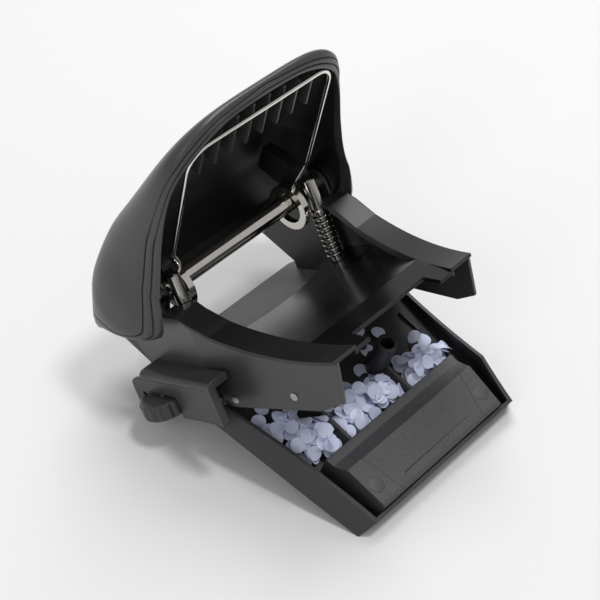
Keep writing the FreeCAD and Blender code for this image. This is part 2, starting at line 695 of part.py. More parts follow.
def rail_front():
    """Y of the front face of the paper guide's rail, which meshes behind the pinion."""
    return term("wheel_y") + "pinion_radius" + "fit_gap"


def make_foot():
    """Rubber strip under the rear of the pan."""
    low, rear, half = -term("hinge_height"), term("foot_y"), term("foot_half")
    body = new_body("rubber_foot")
    top, front = -term("pan_depth"), rear - "foot_width"
    edge = [(front, low), (rear, low), (rear, top), (front, top)]
    pad(body, "YZ_Plane", edge, half * 2, midplane=True)
    return body


def make_guide_plate():
    """Bent plate over the paper gap: slope, fold and front band, with an arched rear edge."""
    wall, nose = term("guide_wall"), -term("cheek_front")
    fold, rear = -term("guide_fold_y"), term("guide_rear_y")
    slope = (term("guide_fold_height") - "guide_height") / (term("guide_fold_y") + "punch_y")
    rear_top = term("guide_height") - slope * (rear - "punch_y")
    edge = [
        (nose, "band_height"),
        (fold, "guide_fold_height"),
        (rear, rear_top),
        (rear, rear_top - wall),
        (fold, term("guide_fold_height") - wall),
        (nose, term("band_height") - wall),
    ]
    body = new_body("guide_plate")
    half = term("cheek_half") - "cheek_wall"
    pad(body, "YZ_Plane", edge, half * 2, midplane=True)
    step = -term("guide_step_y")
    front = term("cheek_front_half") - "cheek_wall"
    run = (half - front) / "cheek_front"
    bead = term("strip_bead") + "cheek_wall" - "strip_width"
    margin = term(5)
    inner_step, inner_nose = half + bead - run * -step, front + bead
    side = [
        (half + margin, rear + margin),
        (half, rear + margin),
        (half, 0),
        (half + run * step, step),
        (inner_step, step),
        (inner_nose, nose),
        (inner_nose, nose - margin),
        (half + margin, nose - margin),
    ]
    mirrored = [(-x, y) for x, y in side]
    cut(body, "XY_Plane", [side, mirrored])
    cut_half, cut_y = term("band_cut_half"), -term("band_cut_y")
    notch = [(cut_half, cut_y), (cut_half, nose - margin), (-cut_half, nose - margin), (-cut_half, cut_y)]
    spacing = term("hole_spacing") / 2
    arch_half = spacing - "sleeve_radius"
    arch = [
        (arch_half, rear + margin),
        (arch_half, rear),
        (0, rear - "guide_arch", "via"),
        (-arch_half, rear),
        (-arch_half, rear + margin),
    ]
    slots = []
    for sign in (-1, 1):
        x, y = term("slot_x") * sign, -term("slot_y")
        x0, x1 = x - term("slot_length") / 2, x + term("slot_length") / 2
        y0, y1 = y - term("slot_width") / 2, y + term("slot_width") / 2
        slots.append([(x0, y0), (x1, y0), (x1, y1), (x0, y1)])
    bores = [(spacing * sign, "punch_y", term("punch_radius") + "pin_gap") for sign in (-1, 1)]
    cut(body, "XY_Plane", [notch, arch] + slots, circles=bores)
    return body


def make_sleeve(name, sign):
    """Short sleeve under the guide plate around a punch pin."""
    spacing = term("hole_spacing") / 2 * sign
    top = term("guide_height") - "guide_wall" - "sleeve_seat"
    body = new_body(name)
    sketch = new_sketch(body, "XY_Plane", top - "sleeve_height")
    circle(sketch, spacing, "punch_y", "sleeve_radius")
    circle(sketch, spacing, "punch_y", term("punch_radius") + "pin_gap")
    feature = body.newObject("PartDesign::Pad", name + "_pad")
    feature.Profile = sketch
    bind(feature, "Length", "sleeve_height")
    return body


def make_wing(name, sign):
    """Hollow side wing: outer skin with a rounded rim, a roof and a rear wall, open to the tray."""
    half, skin = term("wing_half"), term("wing_skin")
    low, top = -term("wing_bottom"), term("wing_top")
    front, rear = -term("wing_front_y"), term("wing_rear_y")
    inside = term("cheek_half")
    roof = term("wing_roof")
    section = [
        (inside * sign, top),
        ((half - "wing_bead") * sign, top),
        ((half - "wing_bevel") * sign, top - "wing_bevel", "via"),
        (half * sign, top - "wing_bead"),
        (half * sign, low),
        ((half - skin) * sign, low),
        ((half - skin) * sign, top - roof),
        (inside * sign, top - roof),
    ]
    body = new_body(name)
    pad(body, "XZ_Plane", section, rear - front, lift=-rear)
    recess_rear, under = rear + term(5), low - term(5)
    rim = term("wing_bead")
    recess_front, recess_top = front + rim, top - rim
    side = [
        (recess_front, under),
        (recess_rear, under),
        (recess_rear, recess_top),
        (recess_front, recess_top),
    ]
    outer = term("wing_recess")
    sketch = new_sketch(body, "YZ_Plane", (half - outer / 2) * sign)
    outline(sketch, side)
    pocket = body.newObject("PartDesign::Pocket", name + "_recess")
    pocket.Profile = sketch
    pocket.SideType = 2
    bind(pocket, "Length", outer)
    reach = term("wheel_radius") + "wheel_slot_gap"
    z1 = term("wheel_height") + term("wheel_wall") / 2 + "wheel_slot_gap"
    y0 = term("wheel_y") - reach
    opening = [(y0, under), (recess_rear, under), (recess_rear, z1), (y0, z1)]
    cut(body, "YZ_Plane", [opening], length=skin * 2, lift=half * sign)
    bore_axle(body, sign)
    return body


def make_side_plate(name, sign):
    """Thin plate in the wing's recess, with the thumb wheel's slot."""
    outer = term("wing_half") - "wing_recess" + "plate_wall"
    low, high = -term("wing_bottom") + "fit_gap", term("wing_top") - "wing_bead" - "fit_gap"
    front = -term("wing_front_y") + "wing_bead" + "fit_gap"
    rear = term("plate_rear_y")
    corner = term("plate_corner")
    bend = corner * (1 - math.sqrt(0.5))
    edge = [
        (front, low),
        (rear - corner, low),
        (rear - bend, low + bend, "via"),
        (rear, low + corner),
        (rear, high - corner),
        (rear - bend, high - bend, "via"),
        (rear - corner, high),
        (front, high),
    ]
    body = new_body(name)
    inner = outer - "plate_wall"
    start = inner if sign > 0 else -outer
    pad(body, "YZ_Plane", edge, "plate_wall", lift=start)
    reach, gap = term("wheel_radius"), term("wheel_slot_gap")
    y0, y1 = term("wheel_y") - reach - gap, term("wheel_y") + reach + gap
    z0, z1 = low - gap, term("wheel_height") + term("wheel_wall") / 2 + gap
    cut(body, "YZ_Plane", [[(y0, z0), (y1, z0), (y1, z1), (y0, z1)]])
    bore_axle(body, sign)
    return body


def bore_axle(body, sign):
    """Bore for the thumb wheel's axle above the wheel's slot, in the left wing and its plate."""
    if sign < 0:
        seat = term("wheel_height") + term("wheel_wall") / 2 + "wheel_slot_gap"
        spot = (-term("wheel_x"), "wheel_y", "wheel_pin_radius")
        cut(body, "XY_Plane", [], circles=[spot], length=term("axle_seat") * 2, lift=seat)


def make_spring(name, sign):
    """Open coil around a punch pin, from the guide plate to the pin's collar."""
    x, y = place_of_pin(sign)
    wire, low = size("spring_wire"), size("guide_height") + size("spring_wire") + size("spring_seat")
    height = size("spring_top") - size("spring_wire") - low
    path = Part.makeHelix(height / size("spring_turns"), height, size("spring_radius"))
    start = Part.Wire(Part.Circle(Vector(size("spring_radius"), 0, 0), Vector(0, 1, 0), wire).toShape())
    coil = Part.Wire(path.Edges).makePipeShell([start], True, True)
    coil.translate(Vector(x, y, low))
    return solid(name, coil)


def make_punch_pin(name, sign):
    """Round punch with the spring's collar and a hollow-ground tip."""
    x, y = place_of_pin(sign)
    tip, top = size("punch_tip"), size("punch_top")
    pin = bar("punch_radius", Vector(x, y, tip), Vector(x, y, top))
    collar_top = size("collar_top")
    seat = collar_top - size("punch_collar_height")
    collar = bar("punch_collar_radius", Vector(x, y, seat), Vector(x, y, collar_top))
    ground = size("punch_radius") * 0.7
    hollow = Part.makeCone(ground, 0, size("punch_hollow"), Vector(x, y, tip), Vector(0, 0, 1))
    head_edges = [edge for edge in pin.Edges if edge.BoundBox.ZMin > top - 0.01]
    pin = pin.makeChamfer(size("punch_chamfer"), head_edges)
    return solid(name, pin.fuse(collar).cut(hollow))


def make_hinge_pin(name, sign):
    """Headed pin through a cheek into the tray's lug."""
    half, inner = size("cheek_half"), size("lug_outer") - size("lug_wall")
    shank = bar("hinge_pin_radius", Vector(sign * inner, 0, 0), Vector(sign * half, 0, 0))
    head_end = half + size("pin_head_height")
    head = bar("pin_head_radius", Vector(sign * half, 0, 0), Vector(sign * head_end, 0, 0))
    return solid(name, shank.fuse(head))


def make_rod():
    """Cross rod that carries the lever."""
    return cylinder("cross_rod", "rod_radius", term("cheek_half") * 2, (0, "rod_y", "rod_height"))


def make_cap(name, sign):
    """Riveted end of the cross rod outside a cheek."""
    x = (term("cheek_half") + term("cap_wall") / 2) * sign
    return cylinder(name, "cap_radius", "cap_wall", (x, "rod_y", "rod_height"))


def make_rivets():
    """Round rivet heads on the outside of the cheeks."""
    rivets = []
    lean = (size("cheek_half") - size("cheek_front_half")) / size("cheek_front")
    for label in ("rear", "front"):
        y, z = size(f"rivet_{label}_y"), size(f"rivet_{label}_z")
        x = size("cheek_half") - lean * y
        for side, sign in sides():
            start = Vector(sign * x, -y, z)
            outward = Vector(sign, -lean, 0).normalize() * size("rivet_height")
            rivets.append(solid(f"rivet_{label}_{side}", bar("rivet_radius", start, start + outward)))
    return rivets


def make_thumb_wheel():
    """Fluted disc with a domed top and the pinion that drives the paper guide."""
    x, y, z = -size("wheel_x"), size("wheel_y"), size("wheel_height")
    radius, wall = size("wheel_radius"), size("wheel_wall")
    low, high = z - wall / 2, z + wall / 2
    wheel = bar("wheel_radius", Vector(x, y, low), Vector(x, y, high))
    wheel = wheel.makeFillet(size("wheel_edge"), [edge for edge in wheel.Edges if len(edge.Vertexes) == 1])
    count = int(size("wheel_flutes"))
    for number in range(count):
        angle = 2 * math.pi * number / count
        reach = radius + size("flute_radius") - size("flute_depth")
        at = Vector(x + reach * math.cos(angle), y + reach * math.sin(angle), low - 1)
        wheel = wheel.cut(bar("flute_radius", at, at + Vector(0, 0, wall + 2)))
    pinion_low = -size("hinge_height") + size("fit_gap")
    wheel = wheel.fuse(bar("pinion_radius", Vector(x, y, pinion_low), Vector(x, y, low)))
    bore = term("wheel_pin_radius") + "pin_gap"
    wheel = wheel.cut(bar(bore, Vector(x, y, pinion_low), Vector(x, y, high)))
    return solid("thumb_wheel", wheel)


def make_axle():
    """Axle of the thumb wheel, seated in the left wing above the wheel."""
    x, y = -size("wheel_x"), size("wheel_y")
    low = -size("hinge_height") + size("fit_gap")
    high = size("wheel_height") + size("wheel_wall") / 2 + size("wheel_slot_gap") + size("axle_seat")
    return solid("thumb_axle", bar("wheel_pin_radius", Vector(x, y, low), Vector(x, y, high)))


def make_rail():
    """Rail of the paper guide, in the groove under the table."""
    low = -term("hinge_height") + "fit_gap"
    high = term("wheel_height") - term("wheel_wall") / 2 - "fit_gap"
    front, end = rail_front(), term("rail_reach")
    body = new_body("paper_rail")
    edge = [(front, low), (front + "rail_width", low), (front + "rail_width", high), (front, high)]
    pad(body, "YZ_Plane", edge, "rail_length", lift=end - "rail_length")
    return body


# ---- Lever: X right, Y to the rear of the cross rod, Z out of the lever's back ----

def shell_stations():
    """Distance from the rod and half width of the shell before its end is rounded."""
    half = size("shell_half")
    return [
        (-size("shell_tail"), half - size("shell_tail_in")),
        (-size("shell_hind"), half - size("shell_hind_in")),
        (-size("shell_wide"), half),
        (0, half - size("shell_rod_in")),
        (size("shell_fore"), half - size("shell_fore_in")),
        (size("shell_mid"), half - size("shell_mid_in")),
        (size("shell_near"), half - size("shell_near_in")),
        (size("shell_length"), half - size("shell_end_in")),
    ]


def back_stations():
    """Distance from the rod and height of the shell's back."""
    return [
        (-size("shell_tail"), size("shell_tail_rise")),
        (-size("shell_slant_y"), size("shell_hind_rise")),
        (0, size("shell_rise")),
        (size("shell_fore"), size("shell_fore_rise")),
        (size("shell_mid"), size("shell_mid_rise")),
        (size("shell_near"), size("shell_near_rise")),
        (size("shell_length"), size("shell_end_rise")),
    ]


def rim_stations():
    """Distance from the rod and height of the rim: slanted rear edge, lobe, heel and long edge."""
    return [
        (-size("shell_tail"), size("shell_tail_rim")),
        (-size("shell_hind"), size("shell_hind_rim")),
        (-size("shell_slant_y"), -size("shell_slant_rim")),
        (0, -size("shell_lobe")),
        (size("shell_heel_y"), -size("shell_heel")),
        (size("shell_fore"), -size("shell_fore_rim")),
        (size("shell_mid"), -size("shell_mid_rim")),
        (size("shell_near"), -size("shell_near_rim")),
        (size("mouth_end"), 0),
        (size("shell_length"), size("shell_lip_rise")),
    ]


def mouth_stations():
    """Distance from the rod and half width of the mouth before its end is rounded."""
    half = size("mouth_half")
    return [
        (-size("shell_tail"), half),
        (size("mouth_straight"), half),
        (size("shell_fore"), half - size("mouth_fore_in")),
        (size("shell_mid"), half - size("mouth_mid_in")),
        (size("shell_near"), half - size("mouth_near_in")),
        (size("shell_length"), half - size("mouth_end_in")),
    ]


def rounded_end(half, place, start, end, power):
    """Half width of a plan that closes in a rounded end between two distances from the rod."""
    turn = max(0.0, min(1.0, (place - start) / (end - start)))
    return half * (1 - turn ** power) ** (1 / power)


def along(stations, place):
    """Smooth value between the stations, level at a highest or lowest one."""
    xs = [row[0] for row in stations]
    ys = [row[1] for row in stations]
    widths = [after - before for before, after in zip(xs, xs[1:])]
    steps = [(ys[i + 1] - ys[i]) / widths[i] for i in range(len(widths))]
    slopes = [steps[0]]
    for i in range(1, len(steps)):
        before, after = steps[i - 1], steps[i]
        mean = (before * widths[i] + after * widths[i - 1]) / (widths[i] + widths[i - 1])
        slopes.append(0.0 if before * after <= 0 else mean)
    slopes.append(steps[-1])
    place = max(xs[0], min(xs[-1], place))
    index = max(i for i in range(len(widths)) if xs[i] <= place)
    width = widths[index]
    u = (place - xs[index]) / width
    return (
        ys[index] * (2 * u ** 3 - 3 * u ** 2 + 1)
        + slopes[index] * width * (u ** 3 - 2 * u ** 2 + u)
        + ys[index + 1] * (3 * u ** 2 - 2 * u ** 3)
        + slopes[index + 1] * width * (u ** 3 - u ** 2)
    )


def shell_section(y, half, foot_half, foot, side, top):
    """Closed section of the shell: flat underside, leaning rim, bulging side and a crowned back."""
    def curve(*poles):
        bend = Part.BezierCurve()
        bend.setPoles([Vector(x, y, z) for x, z in poles])
        return bend.toShape()

    waist = (half - (half - foot_half) / 4, foot + (side - foot) / 8)
    shoulder = (half, top - (top - side) / 8)
    inset = half * 0.8
    crown = top + 2 * size("shell_crown")

    def mirrored(pole):
        return (-pole[0], pole[1])

    foot_corner, bulge, edge = (foot_half, foot), (half, side), (inset, top)
    return Part.Wire([
        Part.LineSegment(Vector(-foot_half, y, foot), Vector(foot_half, y, foot)).toShape(),
        curve(foot_corner, waist, bulge),
        curve(bulge, shoulder, edge),
        curve(edge, (0, crown), mirrored(edge)),
        curve(mirrored(edge), mirrored(shoulder), mirrored(bulge)),
        curve(mirrored(bulge), mirrored(waist), mirrored(foot_corner)),
    ])


def spread(start, end):
    """Distances from the rod for the loft's sections, closer together towards the rounded end."""
    count = 32
    return [start + (end - start) * math.sin(math.pi / 2 * number / count) for number in range(count)]


def make_lever_shell():
    """Moulded lever: a long shell with leaning rims, open below and behind, ribbed in its end."""
    wall, tail, bend, margin = size("shell_wall"), size("shell_tail"), size("shell_round"), 1.0
    plan, back, rims, mouth = shell_stations(), back_stations(), rim_stations(), mouth_stations()
    outer, inner = [], []
    for s in spread(-tail, size("shell_length")):
        half = rounded_end(along(plan, s), s, bend, size("shell_length"), 3.7)
        opening = rounded_end(along(mouth, s), s, bend, size("mouth_end"), 3.1)
        foot_half = max(min(opening, half - margin) - size("rim_edge"), half / 2)
        foot, top = along(rims, s), along(back, s)
        outer.append(shell_section(-s, half, foot_half, foot, foot + (top - foot) * 0.3, top))
    for s in spread(-tail - margin, size("mouth_end")):
        half = rounded_end(along(mouth, s), s, bend, size("mouth_end"), 3.1)
        foot, top = along(rims, s), along(back, s)
        side = foot + (top - foot) * 0.55
        inner.append(shell_section(-s, half, half, -size("shell_length"), side, top - wall))
    shell = Part.makeLoft(outer, True, True)
    hull = shell.copy()
    shell = shell.cut(Part.makeLoft(inner, True, True))
    shell = shell.fuse([rib.common(hull) for rib in make_ribs()])
    return solid("lever_shell", shell)


def make_ribs():
    """Short stiffening ribs across the end of the shell."""
    ribs = []
    start, wall = size("rib_start"), size("rib_wall")
    count = int(size("rib_count"))
    middle = (count - 1) / 2
    for number in range(count):
        x = (number - middle) * size("rib_pitch")
        end = size("rib_end") - size("rib_round") * ((number - middle) / middle) ** 2
        low = size("wire_radius") + size("fit_gap")
        front, rear = size("rib_front_height"), size("rib_rear_height")
        edge = [(-start, low), (-end, low), (-end, front), (-start, rear)]
        ribs.append(prism(edge, "yz", x - wall / 2, x + wall / 2))
    return ribs


def make_wire_bail():
    """Wire bow that lies in the lever's mouth, hooked to the rod by its two eyes."""
    half, inner = size("wire_half"), size("wire_foot_half")
    reach, bend, radius = size("wire_reach"), size("wire_corner"), size("wire_radius")
    start = size("eye_outer") - size("eye_back") - size("wire_radius")
    leg_y, flare_y = -start - size("wire_straight"), -start - size("wire_flare")
    path = [
        Vector(-inner, -start + 1.0, 0),
        Vector(-inner, leg_y, 0),
        Vector(-half, flare_y, 0),
        Vector(-half, -reach, 0),
        Vector(half, -reach, 0),
        Vector(half, flare_y, 0),
        Vector(inner, leg_y, 0),
        Vector(inner, -start + 1.0, 0),
    ]
    edges = []
    previous = path[0]
    for before, corner, after in zip(path, path[1:], path[2:]):
        inward = (corner - before).normalize()
        outward = (after - corner).normalize()
        turn = inward.getAngle(outward)
        cut_back = min(bend * math.tan(turn / 2), 0.45 * (corner - before).Length, 0.45 * (after - corner).Length)
        arc_start, arc_end = corner - inward * cut_back, corner + outward * cut_back
        middle_axis = (outward - inward).normalize()
        arc_radius = cut_back / math.tan(turn / 2)
        centre = corner + middle_axis * (arc_radius / math.cos(turn / 2))
        middle = centre - middle_axis * arc_radius
        edges.append(Part.LineSegment(previous, arc_start).toShape())
        edges.append(Part.Arc(arc_start, middle, arc_end).toShape())
        previous = arc_end
    edges.append(Part.LineSegment(previous, path[-1]).toShape())
    spine = Part.Wire(edges)
    section = Part.Wire(Part.Circle(path[0], Vector(0, 1, 0), radius).toShape())
    bow = spine.makePipeShell([section], True, True)
    wall = size("eye_wall")
    for sign in (-1, 1):
        start_x, end_x = inner - wall / 2, inner + wall / 2
        ends = [Vector(sign * x, size("eye_back"), -size("eye_drop")) for x in (start_x, end_x)]
        bow = bow.fuse(bar("eye_outer", *ends).cut(bar("eye_inner", *ends)))
    return solid("wire_bail", bow)


def make_press_arm(name, sign):
    """Arm of the lever on the rod, with the rounded nose that pushes the punch pin."""
    inner = size("arm_inner")
    nose_y, nose_z, radius = -size("nose_reach"), size("nose_height"), size("nose_radius")
    outer = size("arm_outer")
    hub_end = Vector(sign * (inner + size("hub_wall")), 0, 0)
    hub = bar("hub_radius", Vector(sign * inner, 0, 0), hub_end)
    nose = bar("nose_radius", Vector(sign * inner, nose_y, nose_z), Vector(sign * outer, nose_y, nose_z))
    top = size("arm_height")
    web = [
        (0, "arm_rise"),
        (nose_y, nose_z - radius * 0.4),
        (nose_y - radius, nose_z),
        (nose_y - radius, top * 0.5),
        (nose_y, top),
        (0, top),
    ]
    low, high = sorted((sign * inner, sign * outer))
    arm = hub.fuse(nose).fuse(prism(web, "yz", low, high))
    rod = bar(term("rod_radius") + "pin_gap", Vector(sign * inner, 0, 0), Vector(sign * outer, 0, 0))
    return solid(name, arm.cut(rod))


def make_pivot_cheek(name, sign):
    """Side of the lever on the rod, between the shell's wall and the strip."""
    outer = size("mouth_half")
    inner = size("cheek_half") + size("cap_wall") + size("fit_gap")
    return solid(name, bar("arm_radius", Vector(sign * inner, 0, 0), Vector(sign * outer, 0, 0)))


# ---- Chip tray: X right, Y to the rear of the front lip, Z up from the underside ----

def tray_plan(inset, low):
    """Plan of the tray's leaning walls at their foot or at the shell's drawing height."""
    drop = size("tray_draw_height")
    rows = (
        ("tray_foot_front", "tray_lip_half", "tray_lip_height"),
        ("tray_foot_bend", "tray_bend_half", "tray_bend_height"),
        ("tray_foot_rear", "tray_rear_half", "tray_rear_height"),
    )
    halves = []
    for foot, top, height in rows:
        lean = (size(foot) - size(top)) / size(height)
        halves.append(size(foot) - inset - (0 if low else lean * drop))
    toe = size("tray_toe") - (0 if low else size("tray_toe") / size("tray_lip_height") * drop)
    lengths = (toe + inset, size("tray_bend_y"), size("tray_rear_y") + inset)
    level = 0 if low else drop
    right = [Vector(half, y, level) for half, y in zip(halves, lengths)]
    left = [Vector(-half, y, level) for half, y in zip(halves, lengths)]
    return Part.makePolygon(right + list(reversed(left)) + right[:1])


def make_tray():
    """Shallow tray with leaning walls, open towards the hinge, with its two hinge lugs."""
    wall, floor = size("tray_wall"), size("tray_floor")
    outer = Part.makeLoft([tray_plan(0, True), tray_plan(0, False)], True, True)
    inner = Part.makeLoft([tray_plan(wall, True), tray_plan(wall, False)], True, True)
    over = size("tray_foot_rear") + 5
    lip, bend, rear = size("tray_lip_height"), size("tray_bend_y"), size("tray_rear_y")
    edge = [
        (-5, -1),
        (-5, lip - 0.9),
        (0, lip),
        (bend, "tray_bend_height"),
        (rear, "tray_rear_height"),
        (rear, -1),
    ]
    outer = outer.common(prism(edge, "yz", -over, over))
    inner = inner.common(Part.makeBox(2 * over, 2 * over, 50, Vector(-over, -10, floor)))
    tray = outer.cut(inner)
    for sign in (-1, 1):
        outside = size("lug_outer") * sign
        inside = outside - size("lug_wall") * sign
        low, high = sorted((inside, outside))
        axis_y, axis_z = size("hinge_y"), size("hinge_height")
        ring = bar("lug_radius", Vector(low, axis_y, axis_z), Vector(high, axis_y, axis_z))
        front = axis_y - size("lug_front")
        root = [
            (front, floor * 0.5),
            (rear, floor * 0.5),
            (axis_y, axis_z),
            (axis_y, axis_z + size("lug_radius")),
            (front + 2, axis_z + 1),
            (front, axis_z - 1),
        ]
        lug = ring.fuse(prism(root, "yz", low, high))
        pin_room = term("hinge_pin_radius") + "pin_gap"
        bore = bar(pin_room, Vector(low, axis_y, axis_z), Vector(high, axis_y, axis_z))
        tray = tray.fuse(lug).cut(bore)
    return solid("chip_tray", tray.removeSplitter())


def make_panel():
    """Raised front panel of the tray, hollow underneath."""
    half, front_half = term("panel_rear_half"), term("panel_front_half")
    floor, wall = term("tray_floor"), term("panel_wall")
    front, ridge = term("panel_front_y"), term("panel_ridge_y")
    valley, rear = term("panel_valley_y"), term("panel_rear_y")
    lip = term("tray_lip_height")
    strip = term("panel_strip_height")
    edge = [
        (front + 2, floor),
        (front, lip),
        (front, "panel_front_height"),
        (ridge, "panel_ridge_height"),
        (valley, strip),
        (rear, strip),
        (rear, floor),
    ]
    body = new_body("tray_panel")
    pad(body, "YZ_Plane", edge, half * 2, midplane=True)
    margin = term(5)
    for sign in (-1, 1):
        side = [
            (front_half * sign, front - margin),
            (front_half * sign, front),
            (half * sign, rear),
            ((half + margin) * sign, rear),
            ((half + margin) * sign, front - margin),
        ]
        cut(body, "XY_Plane", [side])
    hollow = [
        (front + wall + 2, floor - margin),
        (front + wall + 2, floor),
        (front + wall, lip - wall),
        (ridge, term("panel_ridge_height") - wall),
        (valley, strip - wall),
        (rear - wall, strip - wall),
        (rear - wall, floor - margin),
    ]
    cut(body, "YZ_Plane", [hollow], length=(front_half - wall) * 2)
    return body


def make_divider(name, x, end):
    """Upright wall in the tray behind the panel."""
    body = new_body(name)
    wall, start = term("divider_wall"), term("panel_rear_y")
    left, right = term(x) - wall / 2, term(x) + wall / 2
    plan = [(left, start), (right, start), (right, end), (left, end)]
    pad(body, "XY_Plane", plan, "divider_height", lift="tray_floor")
    return body


def make_post():
    """Hollow post on the tray's floor."""
    body = new_body("tray_post")
    sketch = new_sketch(body, "XY_Plane", "tray_floor")
    circle(sketch, "boss_x", "boss_y", "boss_radius")
    circle(sketch, "boss_x", "boss_y", "boss_bore")
    feature = body.newObject("PartDesign::Pad", "post_pad")
    feature.Profile = sketch
    bind(feature, "Length", term("boss_height") - "tray_floor")
    return body


def make_floor_rib():
    """Low rib on the tray's floor beside the right wall."""
    body = new_body("floor_rib")
    x, wall = term("ledge_x"), term("divider_wall")
    plan = [(x, "ledge_start"), (x + wall, "ledge_start"), (x + wall, "ledge_end"), (x, "ledge_end")]
    pad(body, "XY_Plane", plan, "ledge_height", lift="tray_floor")
    return body


def make_chips(name, left, right, label):
    """Heap of punched paper discs against the back of the panel."""
    body = new_body(name)
    start, floor = term("panel_rear_y") + "fit_gap", term("tray_floor")
    depth, height = term(f"chips_{label}_depth"), term(f"chips_{label}_height")
    edge = [
        (start, floor),
        (start, floor + height),
        (start + depth * 0.45, floor + height * 0.8),
        (start + depth, floor + height * 0.15),
        (start + depth, floor),
    ]
    pad(body, "YZ_Plane", edge, right - left, lift=left)
    return body


def make_heaps():
    """The three heaps of chips, between the tray's sides, dividers and post."""
    gap = term("divider_wall") / 2 + "fit_gap"
    post = term("boss_radius") + "fit_gap"
    side, divider, boss = term("panel_rear_half"), term("left_divider_x"), term("boss_x")
    return [
        make_chips("paper_chips_left", -side, divider - gap, "left"),
        make_chips("paper_chips_middle", divider + gap, boss - post, "middle"),
        make_chips("paper_chips_right", boss + post, side, "right"),
    ]


# ---- Assembly: the three frames are set in the open position ----

def attitude():
    """Placements of the tray, punch and lever frames, with the table under the two lowest edges."""
    tilt = math.radians(size("tray_tilt"))
    lift = -size("tray_toe") * math.sin(tilt)
    hinge_y, hinge_z = size("hinge_y"), size("hinge_height")
    axis_y = hinge_y * math.cos(tilt) - hinge_z * math.sin(tilt)
    axis_z = hinge_y * math.sin(tilt) + hinge_z * math.cos(tilt) + lift
    foot_y, foot_z = size("foot_y"), size("hinge_height")
    lean = math.asin(axis_z / math.hypot(foot_y, foot_z)) - math.atan2(foot_z, foot_y)
    tray = Placement(Vector(0, 0, lift), Rotation(Vector(1, 0, 0), math.degrees(tilt)))
    punch = Placement(Vector(0, axis_y, axis_z), Rotation(Vector(1, 0, 0), -math.degrees(lean)))
    rod = Vector(0, size("rod_y"), size("rod_height"))
    raised = Placement(rod, Rotation(Vector(1, 0, 0), -size("lever_raise")))
    return tray, punch, punch.multiply(raised)


def build():
    """Make every sub-part in its own frame, then set it in the open punch."""
    fill_sheet()
    work_out()
    punch, lever, tray = [], [], []
    for name, sign in sides():
        punch.append(make_cheek(f"cheek_{name}", sign))
        punch.append(make_strip(f"top_strip_{name}", sign))
        punch.append(make_bracket(f"bracket_{name}", sign))
        punch.append(make_sleeve(f"pin_sleeve_{name}", sign))
        punch.append(make_wing(f"wing_{name}", sign))
        punch.append(make_side_plate(f"side_plate_{name}", sign))
        punch.append(make_spring(f"spring_{name}", sign))
        punch.append(make_punch_pin(f"punch_pin_{name}", sign))
        punch.append(make_hinge_pin(f"hinge_pin_{name}", sign))
        punch.append(make_cap(f"rod_cap_{name}", sign))
        lever.append(make_press_arm(f"press_arm_{name}", sign))
        lever.append(make_pivot_cheek(f"pivot_boss_{name}", sign))
    punch += [make_table(), make_pan(), make_foot(), make_guide_plate(), make_rod(), make_rail()]
    punch += make_rivets()
    punch.append(make_thumb_wheel())
    punch.append(make_axle())
    lever += [make_lever_shell(), make_wire_bail()]
    tray += [make_tray(), make_panel(), make_post(), make_floor_rib()]
    tray.append(make_divider("tray_divider_left", "left_divider_x", "left_divider_end"))
    tray.append(make_divider("tray_divider_right", "boss_x", term("boss_y") - "boss_radius"))
    tray += make_heaps()
    doc.recompute()
    for group, placement in zip((tray, punch, lever), attitude()):
        for item in group:
            item.Placement = placement.multiply(item.Placement)
    doc.recompute()
    parts = tray + punch + lever
    centre = footprint_centre(parts)
    for item in parts:
        item.Placement = Placement(-centre, Rotation()).multiply(item.Placement)
    doc.recompute()
    return parts


def footprint_centre(parts):
    """Middle of the whole punch's footprint on the table, where the part's origin goes."""
    box = FreeCAD.BoundBox()
    for item in parts:
        box.add(item.Shape.optimalBoundingBox(False))
    return Vector(box.Center.x, box.Center.y, 0)


def export(parts):
    """Check every object and write one file for each sub-part."""
    for item in doc.Objects:
        assert not {"Invalid", "Error"} & set(item.State), item.Name
    os.makedirs("parts", exist_ok=True)
    for item in parts:
        assert not item.Shape.isNull() and item.Shape.isValid(), item.Label
        assert len(item.Shape.Solids) == 1, (item.Label, len(item.Shape.Solids))
        item.Shape.exportStep(f"parts/{item.Label}.step")


export(build())
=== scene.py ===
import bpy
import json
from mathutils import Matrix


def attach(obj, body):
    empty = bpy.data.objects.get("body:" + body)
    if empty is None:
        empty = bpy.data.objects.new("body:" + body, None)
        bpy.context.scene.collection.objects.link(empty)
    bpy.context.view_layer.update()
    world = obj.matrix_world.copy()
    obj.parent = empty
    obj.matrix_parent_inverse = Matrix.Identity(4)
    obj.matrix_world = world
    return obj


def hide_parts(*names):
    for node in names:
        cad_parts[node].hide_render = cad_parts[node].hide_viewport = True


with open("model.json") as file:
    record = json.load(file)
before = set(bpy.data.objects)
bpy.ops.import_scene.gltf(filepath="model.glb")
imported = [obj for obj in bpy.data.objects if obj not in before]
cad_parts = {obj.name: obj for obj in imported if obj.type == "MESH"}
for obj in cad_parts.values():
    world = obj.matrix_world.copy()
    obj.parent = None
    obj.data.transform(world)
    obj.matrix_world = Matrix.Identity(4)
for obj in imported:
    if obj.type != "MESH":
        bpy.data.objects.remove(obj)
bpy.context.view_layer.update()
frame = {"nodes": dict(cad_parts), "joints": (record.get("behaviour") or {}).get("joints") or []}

import json
import math
import random

import bmesh
import bpy
from bpy.props import FloatProperty, FloatVectorProperty, IntProperty, PointerProperty
from mathutils import Matrix, Vector

bl_info = {
    "name": "Lever hole punch",
    "version": (1, 0, 0),
    "blender": (4, 5, 0),
    "location": "3D View > Sidebar > Hole Punch",
    "description": "Dresses the two-hole lever punch: lever shell and ribs, tray panel, paper chips, finishes",
    "category": "Object",
}

